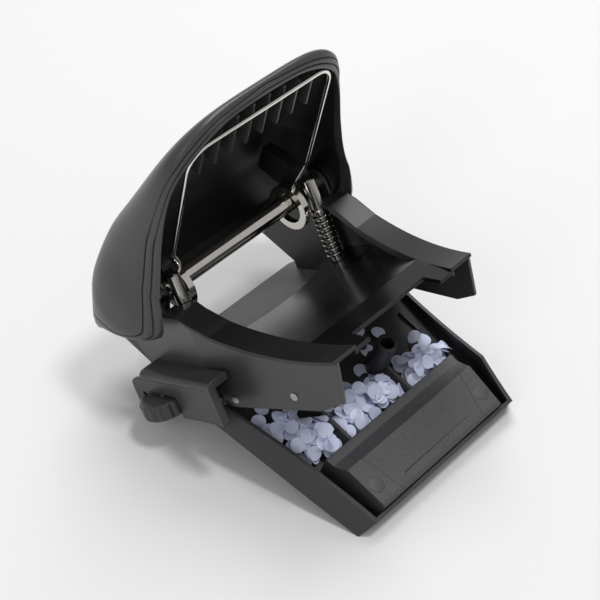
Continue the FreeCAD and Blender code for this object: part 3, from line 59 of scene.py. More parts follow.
MM = 0.001
JOINTS = {joint["name"]: joint for joint in frame["joints"]}
HINGE = Vector(JOINTS["tray_hinge"]["pos_m"])
ROD = Vector(JOINTS["lever_press"]["pos_m"])
UP = -Vector(JOINTS["punch_left_slide"]["axis"])
LEAN = math.atan2(UP.y, UP.z)
TRAY_TILT = math.radians(-JOINTS["tray_hinge"]["range_deg"][0]) - LEAN + math.radians(0.08)
LEVER_RAISE = math.radians(49.0)


def frame_matrix(origin, turn):
    """Matrix of a frame turned about X by an angle, with millimetre coordinates."""
    return Matrix.Translation(origin) @ Matrix.Rotation(turn, 4, "X") @ Matrix.Scale(MM, 4)


LEVER = frame_matrix(ROD, -LEAN - LEVER_RAISE)
TRAY = frame_matrix(HINGE, TRAY_TILT) @ Matrix.Translation((0, -79.3, -5.3))


# ---- Small helpers ----

def linear(hex_colour):
    """An sRGB hex colour as linear RGBA."""
    channels = [int(hex_colour[i:i + 2], 16) / 255 for i in (1, 3, 5)]
    out = [c / 12.92 if c <= 0.04045 else ((c + 0.055) / 1.055) ** 2.4 for c in channels]
    return (*out, 1.0)


# ---- Settings that a user would change ----

def length(name, description, millimetres):
    """A length setting, shown in the scene's units."""
    return FloatProperty(
        name=name, description=description, default=millimetres * MM, min=0.0, unit="LENGTH", subtype="DISTANCE"
    )


def colour(name, description, hex_colour):
    """A colour setting."""
    return FloatVectorProperty(
        name=name, description=description, default=linear(hex_colour)[:3], min=0.0, max=1.0, size=3, subtype="COLOR"
    )


class PUNCH_PG_lever(bpy.types.PropertyGroup):
    """Sizes of the moulded lever's details"""
    groove_depth: length("Groove depth", "Depth of the two grooves that part the rim into tiers", 0.7)
    groove_width: length("Groove width", "Width of a groove across the rim", 0.9)
    tier_crown: length("Tier crown", "Rise of a tier between its grooves", 0.22)
    rib_wall: length("Rib wall", "Thickness of the stiffening ribs in the lever's end", 1.2)


class PUNCH_PG_tray(bpy.types.PropertyGroup):
    """Sizes of the tray's panel"""
    left_step: length("Left step", "Height of the panel's left field above its middle", 0.9)
    right_step: length("Right step", "Height of the panel's right field above its middle", 0.35)
    recess_depth: length("Recess depth", "Depth of the shallow recess at the panel's front edge", 0.8)
    mark_radius: length("Mark radius", "Radius of the two round ejector marks", 3.1)


class PUNCH_PG_chips(bpy.types.PropertyGroup):
    """Paper chips in the tray"""
    radius: length("Chip radius", "Radius of a punched paper disc", 3.15)
    curl: length("Curl", "Largest rise of a curled disc's edge", 1.15)
    count: IntProperty(name="Chips", description="Number of chips in the three heaps", default=215, min=0, max=600)
    seed: IntProperty(name="Seed", description="Seed of the chips' places", default=11, min=0)


class PUNCH_PG_colours(bpy.types.PropertyGroup):
    """Colours of the finishes"""
    lever: colour("Lever", "Moulded ABS of the lever", "#363637")
    tray: colour("Tray", "Moulded ABS of the tray", "#2b2b2d")
    panel: colour("Panel", "Textured ABS of the tray's panel", "#3c3c3e")
    enamel: colour("Enamel", "Stove enamel of the folded steel", "#2f2f30")
    # The paper table's grey is painted reflection: the enamelled plate looks grey from the light it mirrors.
    table: colour("Paper table", "Enamel of the paper table", "#58595b")
    paper: colour("Paper", "Paper of the chips", "#dce2ff")


# ---- Materials ----

def add_node(tree, kind, settings=None, links=None):
    """Add a node, set its properties and sockets by name, and link its inputs from other sockets."""
    node = tree.nodes.new(kind)
    for name, value in (settings or {}).items():
        if name in node.inputs:
            node.inputs[name].default_value = value
        else:
            setattr(node, name, value)
    for name, source in (links or {}).items():
        tree.links.new(source, node.inputs[name])
    return node


def new_material(name):
    """An empty node material with its output and Object coordinates."""
    material = bpy.data.materials.new(name)
    material.use_nodes = True
    tree = material.node_tree
    tree.nodes.clear()
    output = add_node(tree, "ShaderNodeOutputMaterial")
    where = add_node(tree, "ShaderNodeTexCoord").outputs["Object"]
    return material, tree, output, where


def grain_scale(size_mm):
    """Noise scale whose features are about a size in millimetres, on Object coordinates in metres."""
    return 1.0 / (size_mm * MM)


def moulded(name, colour, worn, roughness, grain_mm, bump, coat=0.0, rounding=0.4, speckled=False):
    """A moulded or coated surface: tone that drifts, a fine grain in the bump and uneven gloss."""
    material, tree, output, where = new_material(name)
    drift = add_node(tree, "ShaderNodeTexNoise", {"Scale": grain_scale(22.0), "Detail": 3.0}, {"Vector": where})
    grain = add_node(
        tree, "ShaderNodeTexNoise", {"Scale": grain_scale(grain_mm), "Detail": 4.0, "Roughness": 0.6}, {"Vector": where}
    )
    mottle = (grain if speckled else drift).outputs["Fac"]
    tone = add_node(tree, "ShaderNodeMix", {"data_type": "RGBA"}, {"Factor": mottle})
    tone.inputs[6].default_value = colour
    tone.inputs[7].default_value = worn
    gloss = add_node(
        tree, "ShaderNodeMapRange",
        {"To Min": roughness - 0.06, "To Max": roughness + 0.08}, {"Value": drift.outputs["Fac"]},
    )
    edge = add_node(tree, "ShaderNodeBevel", {"samples": 6, "Radius": rounding * MM})
    relief = add_node(
        tree, "ShaderNodeBump", {"Strength": bump, "Distance": 0.00012},
        {"Height": grain.outputs["Fac"], "Normal": edge.outputs["Normal"]},
    )
    shader = add_node(
        tree, "ShaderNodeBsdfPrincipled", {"IOR": 1.5, "Coat Weight": coat, "Coat Roughness": 0.25},
        {"Base Color": tone.outputs[2], "Roughness": gloss.outputs["Result"], "Normal": relief.outputs["Normal"]},
    )
    tree.links.new(shader.outputs[0], output.inputs["Surface"])
    return material


def metal(name, colour, darker, roughness, grain_mm, stretch):
    """A bare metal: base colour that drifts, and fine lines along its working direction."""
    material, tree, output, where = new_material(name)
    lines = add_node(tree, "ShaderNodeMapping", {"Scale": stretch}, {"Vector": where})
    grain = add_node(
        tree, "ShaderNodeTexNoise", {"Scale": grain_scale(grain_mm), "Detail": 3.0}, {"Vector": lines.outputs[0]}
    )
    tone = add_node(tree, "ShaderNodeMix", {"data_type": "RGBA"}, {"Factor": grain.outputs["Fac"]})
    tone.inputs[6].default_value = linear(darker)
    tone.inputs[7].default_value = linear(colour)
    gloss = add_node(
        tree, "ShaderNodeMapRange",
        {"To Min": max(0.03, roughness - 0.06), "To Max": roughness + 0.06}, {"Value": grain.outputs["Fac"]},
    )
    relief = add_node(
        tree, "ShaderNodeBump", {"Strength": 0.15, "Distance": 0.00004}, {"Height": grain.outputs["Fac"]}
    )
    shader = add_node(
        tree, "ShaderNodeBsdfPrincipled", {"Metallic": 1.0},
        {"Base Color": tone.outputs[2], "Roughness": gloss.outputs["Result"], "Normal": relief.outputs["Normal"]},
    )
    tree.links.new(shader.outputs[0], output.inputs["Surface"])
    return material


def paint(setting, share=1.0):
    """A colour setting as RGBA, made lighter or darker by a share."""
    tone = getattr(bpy.context.scene.punch_colours, setting)
    return (*(min(1.0, channel * share) for channel in tone), 1.0)


def lever_abs():
    """Moulded ABS of the lever: satin black with a broad soft sheen."""
    return moulded("moulded_abs_lever", paint("lever"), paint("lever", 1.25), 0.33, 0.35, 0.15, rounding=0.3)


def painted_shade_inner_abs():
    """Moulded ABS inside the lever: unpolished and duller than outside, with painted shade making it darker."""
    return moulded("unpolished_abs", paint("lever", 0.16), paint("lever", 0.22), 0.5, 0.5, 0.2)


def tray_abs():
    """Moulded ABS of the tray: black with a fine spark-eroded texture."""
    return moulded("moulded_abs_tray", paint("tray"), paint("tray", 1.2), 0.48, 0.5, 0.5)


def panel_abs():
    """Spark-eroded ABS of the tray's panel: the texture is drawn a little coarser so that it shows."""
    return moulded(
        "textured_abs_panel", paint("panel", 0.3), paint("panel", 2.0), 0.5, 0.8, 1.0, rounding=0.5, speckled=True
    )


def sheet_enamel():
    """Stove enamel on the folded steel sheets: satin black, smooth."""
    return moulded("stove_enamel", paint("enamel"), paint("enamel", 1.2), 0.33, 0.9, 0.1, 0.25, rounding=0.7)


def strip_enamel():
    """Stove enamel on the top strips and brackets: black and glossy."""
    return moulded("gloss_black_enamel", linear("#101011"), linear("#171718"), 0.36, 1.0, 0.08, 0.15, rounding=0.8)


def plate_enamel():
    """Enamel on the guide plate: black and glossy, so that it mirrors its surroundings softly."""
    return moulded("plate_enamel", linear("#0a0a0b"), linear("#101011"), 0.2, 1.2, 0.08)


def table_enamel():
    """Enamel of the paper table, coloured grey as painted reflection of the bright surroundings."""
    return moulded("grey_enamel", paint("table"), paint("table", 1.15), 0.4, 0.8, 0.15)


def wing_abs():
    """Moulded nylon of the wings and thumb wheel."""
    return moulded("moulded_nylon", linear("#2b2b2d"), linear("#343436"), 0.3, 0.4, 0.2, rounding=0.9)


def chromed_steel():
    """Bright chromed steel of the rod and wire bow."""
    return metal("chromed_steel", "#f2efe8", "#d8d4cb", 0.1, 0.8, (0.2, 1.0, 1.0))


def ground_steel():
    """Ground tool steel of the punch pins."""
    return metal("ground_steel", "#d8d6d0", "#aeaca6", 0.2, 0.3, (1.0, 1.0, 1.0))


def drawn_steel():
    """Drawn spring wire: grey and slightly dull."""
    return metal("drawn_steel", "#b9b8b4", "#8d8c87", 0.22, 0.3, (1.0, 1.0, 1.0))


def foot_rubber():
    """Moulded rubber of the rear foot."""
    return moulded("moulded_rubber", linear("#1a1a1a"), linear("#242424"), 0.8, 0.6, 0.4)


def chip_paper():
    """Uncoated white paper with a faint blue cast, a little different from disc to disc: the random darker tones are
    partly painted shade that parts overlapping discs.
    """
    material, tree, output, where = new_material("office_paper")
    fibres = add_node(tree, "ShaderNodeTexNoise", {"Scale": grain_scale(0.5), "Detail": 3.0}, {"Vector": where})
    relief = add_node(
        tree, "ShaderNodeBump", {"Strength": 0.3, "Distance": 0.00005}, {"Height": fibres.outputs["Fac"]}
    )
    each = add_node(tree, "ShaderNodeNewGeometry")
    # Random tone per disc, partly painted shade standing in for the shade between overlapping discs.
    tone = add_node(tree, "ShaderNodeMix", {"data_type": "RGBA"}, {"Factor": each.outputs["Random Per Island"]})
    tone.inputs[6].default_value = paint("paper", 0.78)
    tone.inputs[7].default_value = paint("paper", 1.05)
    shader = add_node(
        tree, "ShaderNodeBsdfPrincipled", {"Roughness": 0.85},
        {"Base Color": tone.outputs[2], "Normal": relief.outputs["Normal"]},
    )
    tree.links.new(shader.outputs[0], output.inputs["Surface"])
    return material


FINISHES = {
    "lever": lever_abs, "inner": painted_shade_inner_abs, "tray": tray_abs, "panel": panel_abs,
    "enamel": sheet_enamel, "strip": strip_enamel, "plate": plate_enamel,
    "table": table_enamel, "wing": wing_abs, "chrome": chromed_steel, "ground": ground_steel,
    "spring": drawn_steel, "rubber": foot_rubber, "paper": chip_paper,
}
MADE = {}


def finish(name):
    """The material of that name, made once."""
    if name not in MADE:
        MADE[name] = FINISHES[name]()
    return MADE[name]


def dress(thing, name):
    """Give an object one material."""
    thing.data.materials.clear()
    thing.data.materials.append(finish(name))


NODE_FINISH = {
    # The press arms and pivot boss inside the lever take the darker inner finish: painted shade.
    "lever_shell": "lever", "press_arm": "inner", "pivot_boss": "inner", "wire_bail": "chrome",
    "chip_tray": "tray", "tray_panel": "panel", "tray_post": "tray", "tray_divider": "tray", "floor_rib": "tray",
    "paper_chips": "paper", "cheek": "enamel", "bracket": "strip", "top_strip": "strip", "base_pan": "enamel",
    "guide_plate": "plate", "paper_table": "table", "wing": "wing", "side_plate": "wing", "thumb_wheel": "wing",
    "paper_rail": "wing", "cross_rod": "chrome", "rod_cap": "ground", "hinge_pin": "ground", "rivet": "spring",
    "thumb_axle": "ground", "punch_pin": "ground", "pin_sleeve": "ground", "spring": "spring",
    "rubber_foot": "rubber",
}


# ---- Shapes ----

def piece(name, work, place, body, finishes, replaced=(), sharp=38.0):
    """Make an object from a bmesh in a local frame: smooth, dressed, and riding on its body."""
    bmesh.ops.transform(work, matrix=place, verts=work.verts)
    mesh = bpy.data.meshes.new(name)
    work.to_mesh(mesh)
    work.free()
    mesh.shade_smooth()
    mesh.set_sharp_from_angle(angle=math.radians(sharp))
    for key in finishes:
        mesh.materials.append(finish(key))
    made = bpy.data.objects.new(name, mesh)
    bpy.context.scene.collection.objects.link(made)
    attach(made, body)
    if replaced:
        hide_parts(*replaced)
    return made


def sheet_grid(rows, columns, place):
    """A grid whose vertices are placed by a function of their row and column."""
    work = bmesh.new()
    bmesh.ops.create_grid(work, x_segments=columns - 1, y_segments=rows - 1, size=1.0)
    for vertex in work.verts:
        column = round((vertex.co.x + 1) / 2 * (columns - 1))
        row = round((vertex.co.y + 1) / 2 * (rows - 1))
        vertex.co = place(row, column)
    return work


def mirror_closed(work):
    """Mirror a half over the middle plane, join it and turn its faces outwards."""
    bmesh.ops.mirror(work, geom=work.verts[:] + work.edges[:] + work.faces[:], axis="X", merge_dist=0.01)
    bmesh.ops.remove_doubles(work, verts=work.verts, dist=0.01)
    bmesh.ops.recalc_face_normals(work, faces=work.faces)


def along(stations, place):
    """Smooth value between stations of place and value, level at a highest or lowest one."""
    xs, ys = zip(*stations)
    widths = [after - before for before, after in zip(xs, xs[1:])]
    steps = [(ys[i + 1] - ys[i]) / widths[i] for i in range(len(widths))]
    slopes = [steps[0]]
    for i in range(1, len(steps)):
        before, after = steps[i - 1], steps[i]
        mean = (before * widths[i] + after * widths[i - 1]) / (widths[i] + widths[i - 1])
        slopes.append(0.0 if before * after <= 0 else mean)
    slopes.append(steps[-1])
    place = max(xs[0], min(xs[-1], place))
    index = max(i for i in range(len(widths)) if xs[i] <= place)
    width = widths[index]
    u = (place - xs[index]) / width
    return (
        ys[index] * (2 * u ** 3 - 3 * u ** 2 + 1) + slopes[index] * width * (u ** 3 - 2 * u ** 2 + u)
        + ys[index + 1] * (3 * u ** 2 - 2 * u ** 3) + slopes[index + 1] * width * (u ** 3 - u ** 2)
    )


def blend(low, high, share):
    """Value part of the way between two values."""
    return low + (high - low) * share


# ---- Lever: millimetres in a frame on the cross rod, X right, Y to the rear, Z out of the back ----

TAIL, ROUND, END, MOUTH_END = -26.5, 38.0, 91.0, 86.3
BACK_HALF = (
    (TAIL, 58.6), (-18.0, 62.7), (-8.0, 64.7), (0.0, 63.4), (20.0, 57.2), (40.0, 53.0), (60.0, 50.2), (END, 49.2),
)
BACK_TOP = ((TAIL, 20.3), (-10.0, 25.4), (0.0, 27.8), (20.0, 26.8), (40.0, 21.0), (60.0, 14.8), (END, 5.3))
RIM_FOOT = (
    (TAIL, 14.3), (-18.0, 5.8), (-10.0, -8.7), (0.0, -15.5), (9.0, -13.5), (20.0, -9.2), (40.0, -3.7),
    (60.0, -0.8), (MOUTH_END, 0.0), (END, 1.5),
)
MOUTH_HALF = ((TAIL, 55.6), (15.0, 55.6), (20.0, 54.2), (40.0, 51.0), (60.0, 48.6), (END, 46.4))
SHELL_WALL, CROWN, SHOULDER = 2.2, 0.6, 0.2
OUTER_BULGE, INNER_BULGE = 0.3, 0.55  # share of a section's height at which it is widest
BACK_POWER, MOUTH_POWER = 3.7, 3.1
REAR_TIER, FRONT_TIER = 4.4, 2.2  # width of a rim tier at the rod and at the free end
LIP_DEPTH, LIP_WIDTH = 2.6, 2.4  # lip under the tail's rear edge
RIB_FOOT, RIB_START, RIB_END, RIB_ROUND, RIB_PITCH, RIB_COUNT = 1.25, 61.0, 83.0, 6.0, 8.5, 8
INNER_COLUMNS = 21  # columns of a row that lie inside the shell


def plan_half(stations, end, power, place):
    """Half width of a plan that closes in a rounded end."""
    turn = max(0.0, min(1.0, (place - ROUND) / (end - ROUND)))
    return along(stations, place) * (1 - turn ** power) ** (1 / power)


def back_height(inward, place, side, drop):
    """Height of the back (or of the ceiling under it), going inward from the widest line to the middle."""
    top = along(BACK_TOP, place) - drop
    if inward >= SHOULDER:
        return top + CROWN * (1 - ((1 - inward) / (1 - SHOULDER)) ** 2)
    v = math.sqrt(max(0.0, inward) / SHOULDER)
    shoulder = top - (top - side) / 8
    return (1 - v) ** 2 * side + 2 * v * (1 - v) * shoulder + v ** 2 * top


def flank(mouth, bulge, middle, details):
    """Points from the mouth's edge up the flank to the back: two tiers, each behind a groove."""
    foot = along(RIM_FOOT, mouth.y)
    side = blend(along(RIM_FOOT, bulge.y), along(BACK_TOP, bulge.y), OUTER_BULGE)
    outward, spread = (bulge - mouth).normalized(), (bulge - middle).normalized()
    line = []
    count = 24
    for number in range(count):
        v = number / count
        spot = mouth.lerp(bulge, 1.5 * v - 0.5 * v * v)
        rise = foot * (1 - v) ** 2 + 2 * v * (1 - v) * blend(foot, side, 0.125) + side * v ** 2
        line.append((Vector((spot.x, spot.y, rise)), outward))
    for number in range(count + 1):
        inward = SHOULDER * (number / count) ** 2
        spot = bulge.lerp(middle, inward)
        line.append((Vector((spot.x, spot.y, back_height(inward, spot.y, side, 0.0))), spread))
    lengths = [0.0]
    for (before, _), (after, _) in zip(line, line[1:]):
        lengths.append(lengths[-1] + (after - before).length)
    total = lengths[-1]

    def walk(distance, raised):
        index = max(i for i in range(len(line) - 1) if lengths[i] <= distance + 1e-9)
        share = (distance - lengths[index]) / max(1e-9, lengths[index + 1] - lengths[index])
        (start, across), (stop, _) = line[index], line[index + 1]
        tangent = (stop - start).normalized()
        along_row = tangent.x * across.x + tangent.y * across.y
        normal = Vector((tangent.z * across.x, tangent.z * across.y, -along_row))
        spot = start.lerp(stop, share) + normal * raised
        return Vector((spot.x, -spot.y, spot.z))

    half_groove, depth, crown = details
    pitch = blend(REAR_TIER, FRONT_TIER, max(0.0, min(1.0, mouth.y / MOUTH_END)))
    if mouth.y < 0:
        slope = along(RIM_FOOT, mouth.y + 0.5) - along(RIM_FOOT, max(TAIL, mouth.y - 0.5))
        pitch *= math.sqrt(1 + min(4.0, slope * slope))
    pitch = min(pitch, total * 0.42)
    half_groove = min(half_groove, pitch * 0.16)
    stops = [0.55, pitch, pitch * 2, total]
    points = []
    for number in range(3):
        start = stops[number] + (half_groove if number else 0.0)
        stop = stops[number + 1] - (half_groove if number < 2 else 0.0)
        samples = (8, 8, 20)[number]
        for step in range(samples + 1):
            u = step / samples
            raised = crown * math.sin(math.pi * u) if number < 2 else 0.0
            points.append(walk(min(total - 1e-6, blend(start, stop, u)), raised))
        if number < 2:
            middle_groove = stops[number + 1]
            points.append(walk(middle_groove - half_groove * 0.35, -depth))
            points.append(walk(middle_groove + half_groove * 0.35, -depth))
    return points, side


def shell_rows():
    """Where each row of the shell starts: straight rows, then a fan round the end."""
    rows = []
    straight = 84
    for number in range(straight):
        u = number / straight
        place = TAIL + (ROUND - TAIL) * (0.8 * u + 0.2 * u * u)
        rows.append((
            Vector((along(MOUTH_HALF, place), place)), Vector((along(BACK_HALF, place), place)),
            Vector((0.0, place)),
        ))
    fan = 56
    for number in range(fan + 1):
        u = number / fan
        turn = math.pi / 2 * u ** 1.5 / (u ** 1.5 + (1 - u) ** 1.5)
        row = []
        for stations, end, power in ((MOUTH_HALF, MOUTH_END, MOUTH_POWER), (BACK_HALF, END, BACK_POWER)):
            place = ROUND + (end - ROUND) * math.sin(turn) ** (2 / power)
            row.append(Vector((along(stations, place) * max(0.0, math.cos(turn)) ** (2 / power), place)))
        rows.append((*row, Vector((0.0, blend(ROUND, 66.0, math.sin(turn) ** 1.4)))))
    return rows


def shell_row(mouth, bulge, middle, details):
    """One row of the shell: ceiling, inner wall, mouth edge, tiers, flank and back."""
    foot, top = along(RIM_FOOT, mouth.y), along(BACK_TOP, mouth.y)
    inside = max(blend(foot, top, INNER_BULGE), foot + 0.9)
    inside = min(inside, top - SHELL_WALL - 0.1) if mouth.y > TAIL + 4 else inside
    lip = LIP_DEPTH * math.sqrt(max(0.0, 1 - (mouth.y - TAIL) / LIP_WIDTH))
    points = []
    ceiling = 18
    for number in range(ceiling):
        inward = (1 - number / ceiling) ** 2
        spot = mouth.lerp(middle, inward)
        rise = back_height(inward, spot.y, inside, SHELL_WALL) - lip
        points.append(Vector((spot.x, -spot.y, rise)))
    inside -= lip
    for share in (1.0, 0.75, 0.5, 0.25):
        points.append(Vector((mouth.x, -mouth.y, blend(foot + 0.7, inside, share))))
    across = (bulge - mouth).normalized()
    for out, rise in ((0.0, 0.45), (0.08, 0.2), (0.28, 0.03)):
        spot = mouth + across * out
        points.append(Vector((spot.x, -spot.y, foot + rise)))
    rim, side = flank(mouth, bulge, middle, details)
    points += rim
    back = 14
    for number in range(1, back + 1):
        inward = blend(SHOULDER, 1.0, number / back)
        spot = bulge.lerp(middle, inward)
        points.append(Vector((spot.x, -spot.y, back_height(inward, spot.y, side, 0.0))))
    return points


class PUNCH_OT_lever(bpy.types.Operator):
    """Moulded lever: thin shell with a tiered rim, and the ribs in its end"""
    bl_idname = "punch.lever"
    bl_label = "Lever"

    def execute(self, context):
        sizes = context.scene.punch_lever
        details = (sizes.groove_width / MM / 2, sizes.groove_depth / MM, sizes.tier_crown / MM)
        lines = [shell_row(*row, details) for row in shell_rows()]
        work = sheet_grid(len(lines), len(lines[0]), lambda row, column: lines[row][column])
        strip = len(lines[0]) - 1
        # Faces inside the shell take the second, darker material: painted shade on the inside of the same plastic.
        for number, face in enumerate(work.faces):
            face.material_index = 1 if number % strip < INNER_COLUMNS else 0
        mirror_closed(work)
        rear = [edge for edge in work.edges if edge.is_boundary]
        bmesh.ops.holes_fill(work, edges=rear, sides=0)
        bmesh.ops.triangulate(work, faces=[face for face in work.faces if len(face.verts) > 4])
        bmesh.ops.recalc_face_normals(work, faces=work.faces)
        piece("lever_cover", work, LEVER, "lever", ("lever", "inner"), ("lever_shell",))
        work = bmesh.new()
        wall = sizes.rib_wall / MM
        middle = (RIB_COUNT - 1) / 2
        for number in range(RIB_COUNT):
            offset = number - middle
            x = offset * RIB_PITCH
            end = RIB_END - RIB_ROUND * (abs(offset) / middle) ** 2
            rib = sheet_grid(2, 13, lambda row, column: rib_point(x, blend(RIB_START, end, column / 12), row))
            made = bmesh.ops.extrude_face_region(rib, geom=rib.faces[:])
            shift = [item for item in made["geom"] if isinstance(item, bmesh.types.BMVert)]
            bmesh.ops.translate(rib, verts=shift, vec=(wall, 0, 0))
            bmesh.ops.translate(rib, verts=rib.verts, vec=(-wall / 2, 0, 0))
            bmesh.ops.recalc_face_normals(rib, faces=rib.faces)
            edges = [edge for edge in rib.edges if len(edge.link_faces) == 2 and edge.calc_face_angle() > 0.6]
            bmesh.ops.bevel(
                rib, geom=edges, offset=0.25, offset_type="OFFSET", segments=2, profile=0.5, affect="EDGES",
                material=-1,
            )
            join(work, rib)
        piece("lever_ribs", work, LEVER, "lever", ("lever",))
        return {"FINISHED"}


def rib_point(x, place, row):
    """Point of a rib between its straight lower edge and the ceiling."""
    half = plan_half(BACK_HALF, END, BACK_POWER, place)
    side = blend(along(RIM_FOOT, place), along(BACK_TOP, place), OUTER_BULGE)
    roof = back_height(1 - abs(x) / half, place, side, SHELL_WALL * 0.5)
    return Vector((x, -place, roof if row else RIB_FOOT))


def join(work, part):
    """Append one bmesh to another."""
    mesh = bpy.data.meshes.new("part")
    part.to_mesh(mesh)
    part.free()
    work.from_mesh(mesh)
    bpy.data.meshes.remove(mesh)


# ---- Tray: millimetres in a frame on its front lip, X right, Y to the rear, Z up ----

PANEL_PROFILE = (
    (2.0, 1.5), (2.0, 6.0), (2.0, 10.7), (2.12, 11.05), (2.5, 11.28), (4.5, 11.55), (7.1, 11.88), (7.3, 11.9),
    (12.0, 12.53), (17.0, 13.2), (21.2, 13.76), (21.8, 13.8), (22.2, 13.6), (22.5, 13.3), (25.0, 11.75),
    (27.2, 10.5), (27.6, 10.3), (28.1, 10.28), (31.0, 10.3), (31.5, 10.2), (31.8, 9.9), (31.8, 1.5),
)


class PUNCH_OT_panel(bpy.types.Operator):
    """Textured panel at the tray's front: stepped fields, groove, recess and round ejector marks"""
    bl_idname = "punch.panel"
    bl_label = "Tray panel"

    def execute(self, context):
        sizes = context.scene.punch_tray
        left, right, recess = sizes.left_step / MM, sizes.right_step / MM, sizes.recess_depth / MM

        def columns(y):
            share = min(1.0, (y - 2.0) / 20.1)
            edge = blend(37.0, 39.2, (y - 2.0) / 29.8)
            step_left, step_right = blend(-25.1, -30.0, share), blend(26.3, 31.9, share)
            fields = [(-edge, left), (-edge + 0.35, left), (step_left - 0.12, left), (step_left + 0.12, 0.0)]
            fields += [(-19.55, 0.0), (-19.25, 0.0)]
            fields += [(x, 0.0) for x in (-12.0, -4.0, 4.0, 12.0, 22.2)]
            fields += [(step_right - 0.1, 0.0), (step_right + 0.1, right), (edge - 0.35, right), (edge, right)]
            return fields

        tables = [columns(y) for y, _ in PANEL_PROFILE]
        last = len(tables[0]) + 1

        def place(row, column):
            y, z = PANEL_PROFILE[row]
            fields = tables[row]
            if column in (0, last):
                return Vector((fields[0][0] if column == 0 else fields[-1][0], y, 1.5))
            x, raised = fields[column - 1]
            if 2 <= row <= 13:
                z += raised
                if column in (1, last - 1):
                    z -= 0.25
            if 2 <= row <= 6 and -19.3 < x < 22.0:
                z -= recess * ((22.2 - x) / 41.5) ** 0.6
            return Vector((x, y, z))

        work = sheet_grid(len(PANEL_PROFILE), last + 1, place)
        bmesh.ops.remove_doubles(work, verts=work.verts, dist=0.02)
        bmesh.ops.holes_fill(work, edges=[edge for edge in work.edges if edge.is_boundary], sides=0)
        bmesh.ops.recalc_face_normals(work, faces=work.faces)
        for sign, lift in ((-1, left), (1, right)):
            disc = bmesh.new()
            bmesh.ops.create_cone(
                disc, cap_ends=True, segments=40, radius1=sizes.mark_radius / MM, radius2=sizes.mark_radius / MM,
                depth=0.6,
            )
            rim = [edge for edge in disc.edges if all(vertex.co.z > 0.2 for vertex in edge.verts)]
            bmesh.ops.bevel(
                disc, geom=rim, offset=0.12, offset_type="OFFSET", segments=2, profile=0.5, affect="EDGES", material=-1
            )
            slope = math.atan2(13.9 - 11.2, 22.1 - 2.0)
            bmesh.ops.rotate(disc, verts=disc.verts, cent=(0, 0, 0), matrix=Matrix.Rotation(slope, 3, "X"))
            bmesh.ops.translate(disc, verts=disc.verts, vec=(33.2 * sign, 10.4, 12.32 + lift - 0.16))
            join(work, disc)
        piece("tray_panel_cover", work, TRAY, "chip_tray", ("panel",), ("tray_panel",), 25.0)
        return {"FINISHED"}


HEAPS = (
    # outline and share of the chips
    (((-38.6, 34.5), (-33.0, 32.9), (-26.4, 33.0), (-25.6, 38.8), (-27.4, 46.5), (-31.1, 50.5), (-30.0, 55.5),
      (-37.9, 61.5), (-43.6, 64.0), (-46.5, 55.0), (-44.0, 43.0)), 0.36),
    (((-22.6, 33.2), (12.0, 33.2), (14.0, 37.0), (13.0, 43.0), (10.5, 47.5), (2.5, 48.8), (-5.0, 52.0), (-12.5, 44.5),
      (-22.4, 45.5)), 0.4),
    (((17.4, 33.4), (38.0, 33.4), (44.0, 37.0), (44.5, 43.5), (38.2, 50.0), (30.0, 43.8), (22.5, 46.5), (19.5, 40.0)),
     0.24),
)
SINGLE_CHIPS = ((17.8, 57.9), (8.2, 52.9), (28.0, 60.8), (21.4, 67.1), (-16.0, 50.5), (-38.0, 66.5))


def inside(outline, x, y):
    """Whether a point lies in an outline."""
    odd = False
    for (x0, y0), (x1, y1) in zip(outline, outline[1:] + outline[:1]):
        if (y0 > y) != (y1 > y) and x < x0 + (y - y0) / (y1 - y0) * (x1 - x0):
            odd = not odd
    return odd


def chip_shape(radius, curl, twist):
    """One punched disc: thin, round, and curled about a line across it."""
    chip = bmesh.new()
    bmesh.ops.create_circle(chip, segments=14, radius=radius, cap_ends=True, cap_tris=False)
    bmesh.ops.inset_region(chip, faces=chip.faces[:], thickness=radius * 0.42, depth=0.0)
    centre = [face for face in chip.faces if len(face.verts) > 4]
    bmesh.ops.poke(chip, faces=centre)
    for vertex in chip.verts:
        across = vertex.co.x * math.cos(twist) + vertex.co.y * math.sin(twist)
        other = vertex.co.y * math.cos(twist) - vertex.co.x * math.sin(twist)
        vertex.co.z = curl * (across / radius) ** 2 - curl * 0.25 * (other / radius) ** 2
    bmesh.ops.solidify(chip, geom=chip.faces[:], thickness=0.11)
    return chip


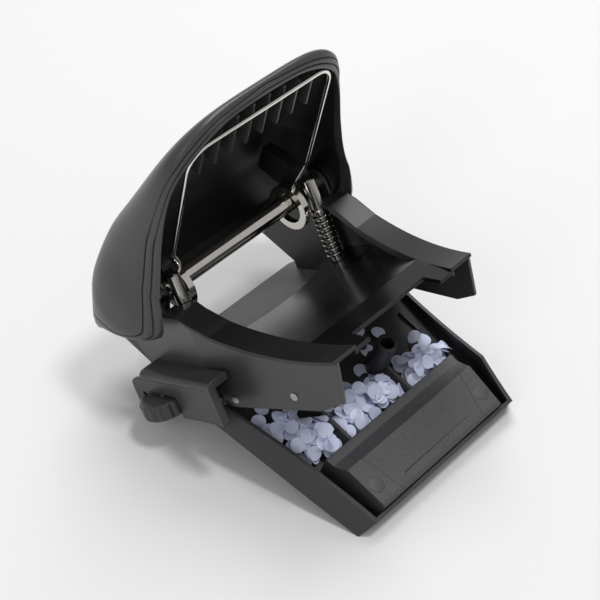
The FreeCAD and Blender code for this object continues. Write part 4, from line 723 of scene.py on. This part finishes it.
class PUNCH_OT_chips(bpy.types.Operator):
    """Punched paper discs, dropped one after another into three heaps and a few single places"""
    bl_idname = "punch.chips"
    bl_label = "Paper chips"

    def execute(self, context):
        sizes = context.scene.punch_chips
        dice = random.Random(sizes.seed)
        radius, curl = sizes.radius / MM, sizes.curl / MM
        floor, cell = 1.5, 0.8
        heights = {}

        def level(x, y):
            return heights.get((round(x / cell), round(y / cell)), floor)

        def drop(work, x, y, tilt_limit):
            spread = [(dx, dy) for dx in (-0.6, 0, 0.6) for dy in (-0.6, 0, 0.6)]
            samples = [(dx * radius, dy * radius, level(x + dx * radius, y + dy * radius)) for dx, dy in spread]
            weight = sum(dx * dx for dx, _, _ in samples)
            slope_x = sum(dx * h for dx, _, h in samples) / weight
            slope_y = sum(dy * h for _, dy, h in samples) / weight
            slope_x = max(-0.7, min(0.7, slope_x * 0.8 + dice.gauss(0, tilt_limit)))
            slope_y = max(-0.7, min(0.7, slope_y * 0.8 + dice.gauss(0, tilt_limit)))
            rest = max(h - slope_x * dx - slope_y * dy for dx, dy, h in samples)
            rest = blend(sum(h for _, _, h in samples) / len(samples), rest, 0.62) + 0.16
            reach = radius * math.hypot(slope_x, slope_y)
            rest = max(rest, floor + 0.1 + reach * 0.9)
            chip = chip_shape(
                radius * dice.uniform(0.97, 1.03),
                curl * dice.uniform(0.1, 1.0) * dice.choice((1, 1, -1)),
                dice.uniform(0, math.pi),
            )
            normal = Vector((-slope_x, -slope_y, 1.0)).normalized()
            turn = Vector((0, 0, 1)).rotation_difference(normal).to_matrix().to_4x4()
            bmesh.ops.transform(chip, matrix=Matrix.Translation((x, y, rest)) @ turn, verts=chip.verts)
            join(work, chip)
            steps = int(radius / cell) + 1
            for i in range(-steps, steps + 1):
                for j in range(-steps, steps + 1):
                    dx, dy = i * cell, j * cell
                    if math.hypot(dx, dy) <= radius:
                        key = (round((x + dx) / cell), round((y + dy) / cell))
                        heights[key] = max(heights.get(key, floor), rest + slope_x * dx + slope_y * dy + 0.14)

        work = bmesh.new()
        for outline, share in HEAPS:
            low = [min(point[axis] for point in outline) for axis in (0, 1)]
            high = [max(point[axis] for point in outline) for axis in (0, 1)]
            placed = 0
            while placed < sizes.count * share:
                x, y = (dice.uniform(low[axis], high[axis]) for axis in (0, 1))
                if not inside(outline, x, y):
                    continue
                lean = (y - low[1]) / (high[1] - low[1])
                if dice.random() > 1.15 - 0.75 * lean:
                    continue
                drop(work, x, y, 0.34)
                placed += 1
        for x, y in SINGLE_CHIPS:
            drop(work, x, y, 0.08)
        nodes = [name for name in frame["nodes"] if name.startswith("paper_chips")]
        piece("paper_chips", work, TRAY, "chip_tray", ("paper",), nodes, 50.0)
        return {"FINISHED"}


class PUNCH_OT_finishes(bpy.types.Operator):
    """Give every carried-over part its material"""
    bl_idname = "punch.finishes"
    bl_label = "Finishes"

    def execute(self, context):
        for name, node in frame["nodes"].items():
            key = max((k for k in NODE_FINISH if name.startswith(k)), key=len)
            dress(node, NODE_FINISH[key])
        return {"FINISHED"}


class PUNCH_OT_stage(bpy.types.Operator):
    """Floor, soft studio lights and camera"""
    bl_idname = "punch.stage"
    bl_label = "Stage"

    def execute(self, context):
        make_floor()
        make_lights()
        make_camera()
        return {"FINISHED"}


def make_floor():
    """Pale studio floor: a flat square with a plain diffuse material."""
    mesh = bpy.data.meshes.new("floor")
    work = bmesh.new()
    bmesh.ops.create_grid(work, x_segments=2, y_segments=2, size=2.5)
    work.to_mesh(mesh)
    work.free()
    floor = bpy.data.objects.new("floor", mesh)
    bpy.context.scene.collection.objects.link(floor)
    material, tree, output, where = new_material("studio_paper")
    shader = add_node(
        tree, "ShaderNodeBsdfPrincipled", {"Base Color": linear("#dcdcdc"), "Roughness": 0.9}
    )
    tree.links.new(shader.outputs[0], output.inputs["Surface"])
    floor.data.materials.append(material)


def area_light(name, place, aim, size, power, colour="#ffffff"):
    """A soft square lamp that faces a point."""
    lamp = bpy.data.lights.new(name, "AREA")
    lamp.shape = "RECTANGLE"
    lamp.size, lamp.size_y = size
    lamp.energy = power
    lamp.color = linear(colour)[:3]
    holder = bpy.data.objects.new(name, lamp)
    holder.location = place
    holder.rotation_euler = (Vector(place) - Vector(aim)).to_track_quat("Z", "Y").to_euler()
    bpy.context.scene.collection.objects.link(holder)


def make_lights():
    """A large soft key from behind and above, a side fill, and a pale world."""
    aim = (0.0, 0.0, 0.05)
    area_light("key", (0.55, 0.5, 1.2), aim, (0.8, 0.6), 10.0)
    area_light("top", (0.2, -0.35, 1.5), aim, (0.3, 0.3), 9.0)
    area_light("fill", (-1.3, -0.3, 0.9), aim, (0.5, 0.9), 4.5)
    world = bpy.data.worlds.new("studio")
    bpy.context.scene.world = world
    world.use_nodes = True
    back = world.node_tree.nodes["Background"]
    back.inputs["Color"].default_value = linear("#f0f0f0")
    back.inputs["Strength"].default_value = 0.5


def make_camera():
    """Camera above the punch's left front corner."""
    camera = bpy.data.cameras.new("camera")
    camera.sensor_width = 36.0
    camera.lens = 1604.7 / 600 * 36.0
    camera.clip_start = 0.05
    holder = bpy.data.objects.new("camera", camera)
    holder.location = HINGE + Vector((-0.3505, -0.3167, 0.4684))
    toward = Vector((-0.536, -0.488, 0.689))
    holder.rotation_euler = toward.to_track_quat("Z", "Y").to_euler()
    bpy.context.scene.collection.objects.link(holder)
    bpy.context.scene.camera = holder
    bpy.context.scene.view_settings.view_transform = "Standard"


class PUNCH_PT_panel(bpy.types.Panel):
    """Lists the punch's pieces"""
    bl_label = "Hole Punch"
    bl_idname = "PUNCH_PT_panel"
    bl_space_type = "VIEW_3D"
    bl_region_type = "UI"
    bl_category = "Hole Punch"

    def draw(self, context):
        for operator in OPERATORS:
            self.layout.operator(operator.bl_idname)
        for name, group in SETTINGS.items():
            box = self.layout.box()
            for setting in group.bl_rna.properties:
                if setting.identifier not in ("rna_type", "name"):
                    box.prop(getattr(context.scene, name), setting.identifier)


SETTINGS = {
    "punch_lever": PUNCH_PG_lever, "punch_tray": PUNCH_PG_tray, "punch_chips": PUNCH_PG_chips,
    "punch_colours": PUNCH_PG_colours,
}
OPERATORS = (PUNCH_OT_finishes, PUNCH_OT_lever, PUNCH_OT_panel, PUNCH_OT_chips, PUNCH_OT_stage)
CLASSES = tuple(SETTINGS.values()) + OPERATORS + (PUNCH_PT_panel,)


def register():
    for item in CLASSES:
        bpy.utils.register_class(item)
    for name, group in SETTINGS.items():
        setattr(bpy.types.Scene, name, PointerProperty(type=group))


def unregister():
    for name in SETTINGS:
        delattr(bpy.types.Scene, name)
    for item in reversed(CLASSES):
        bpy.utils.unregister_class(item)


def main():
    register()
    for operator in OPERATORS:
        group, name = operator.bl_idname.split(".")
        getattr(getattr(bpy.ops, group), name)()


if __name__ == "__main__":
    main()
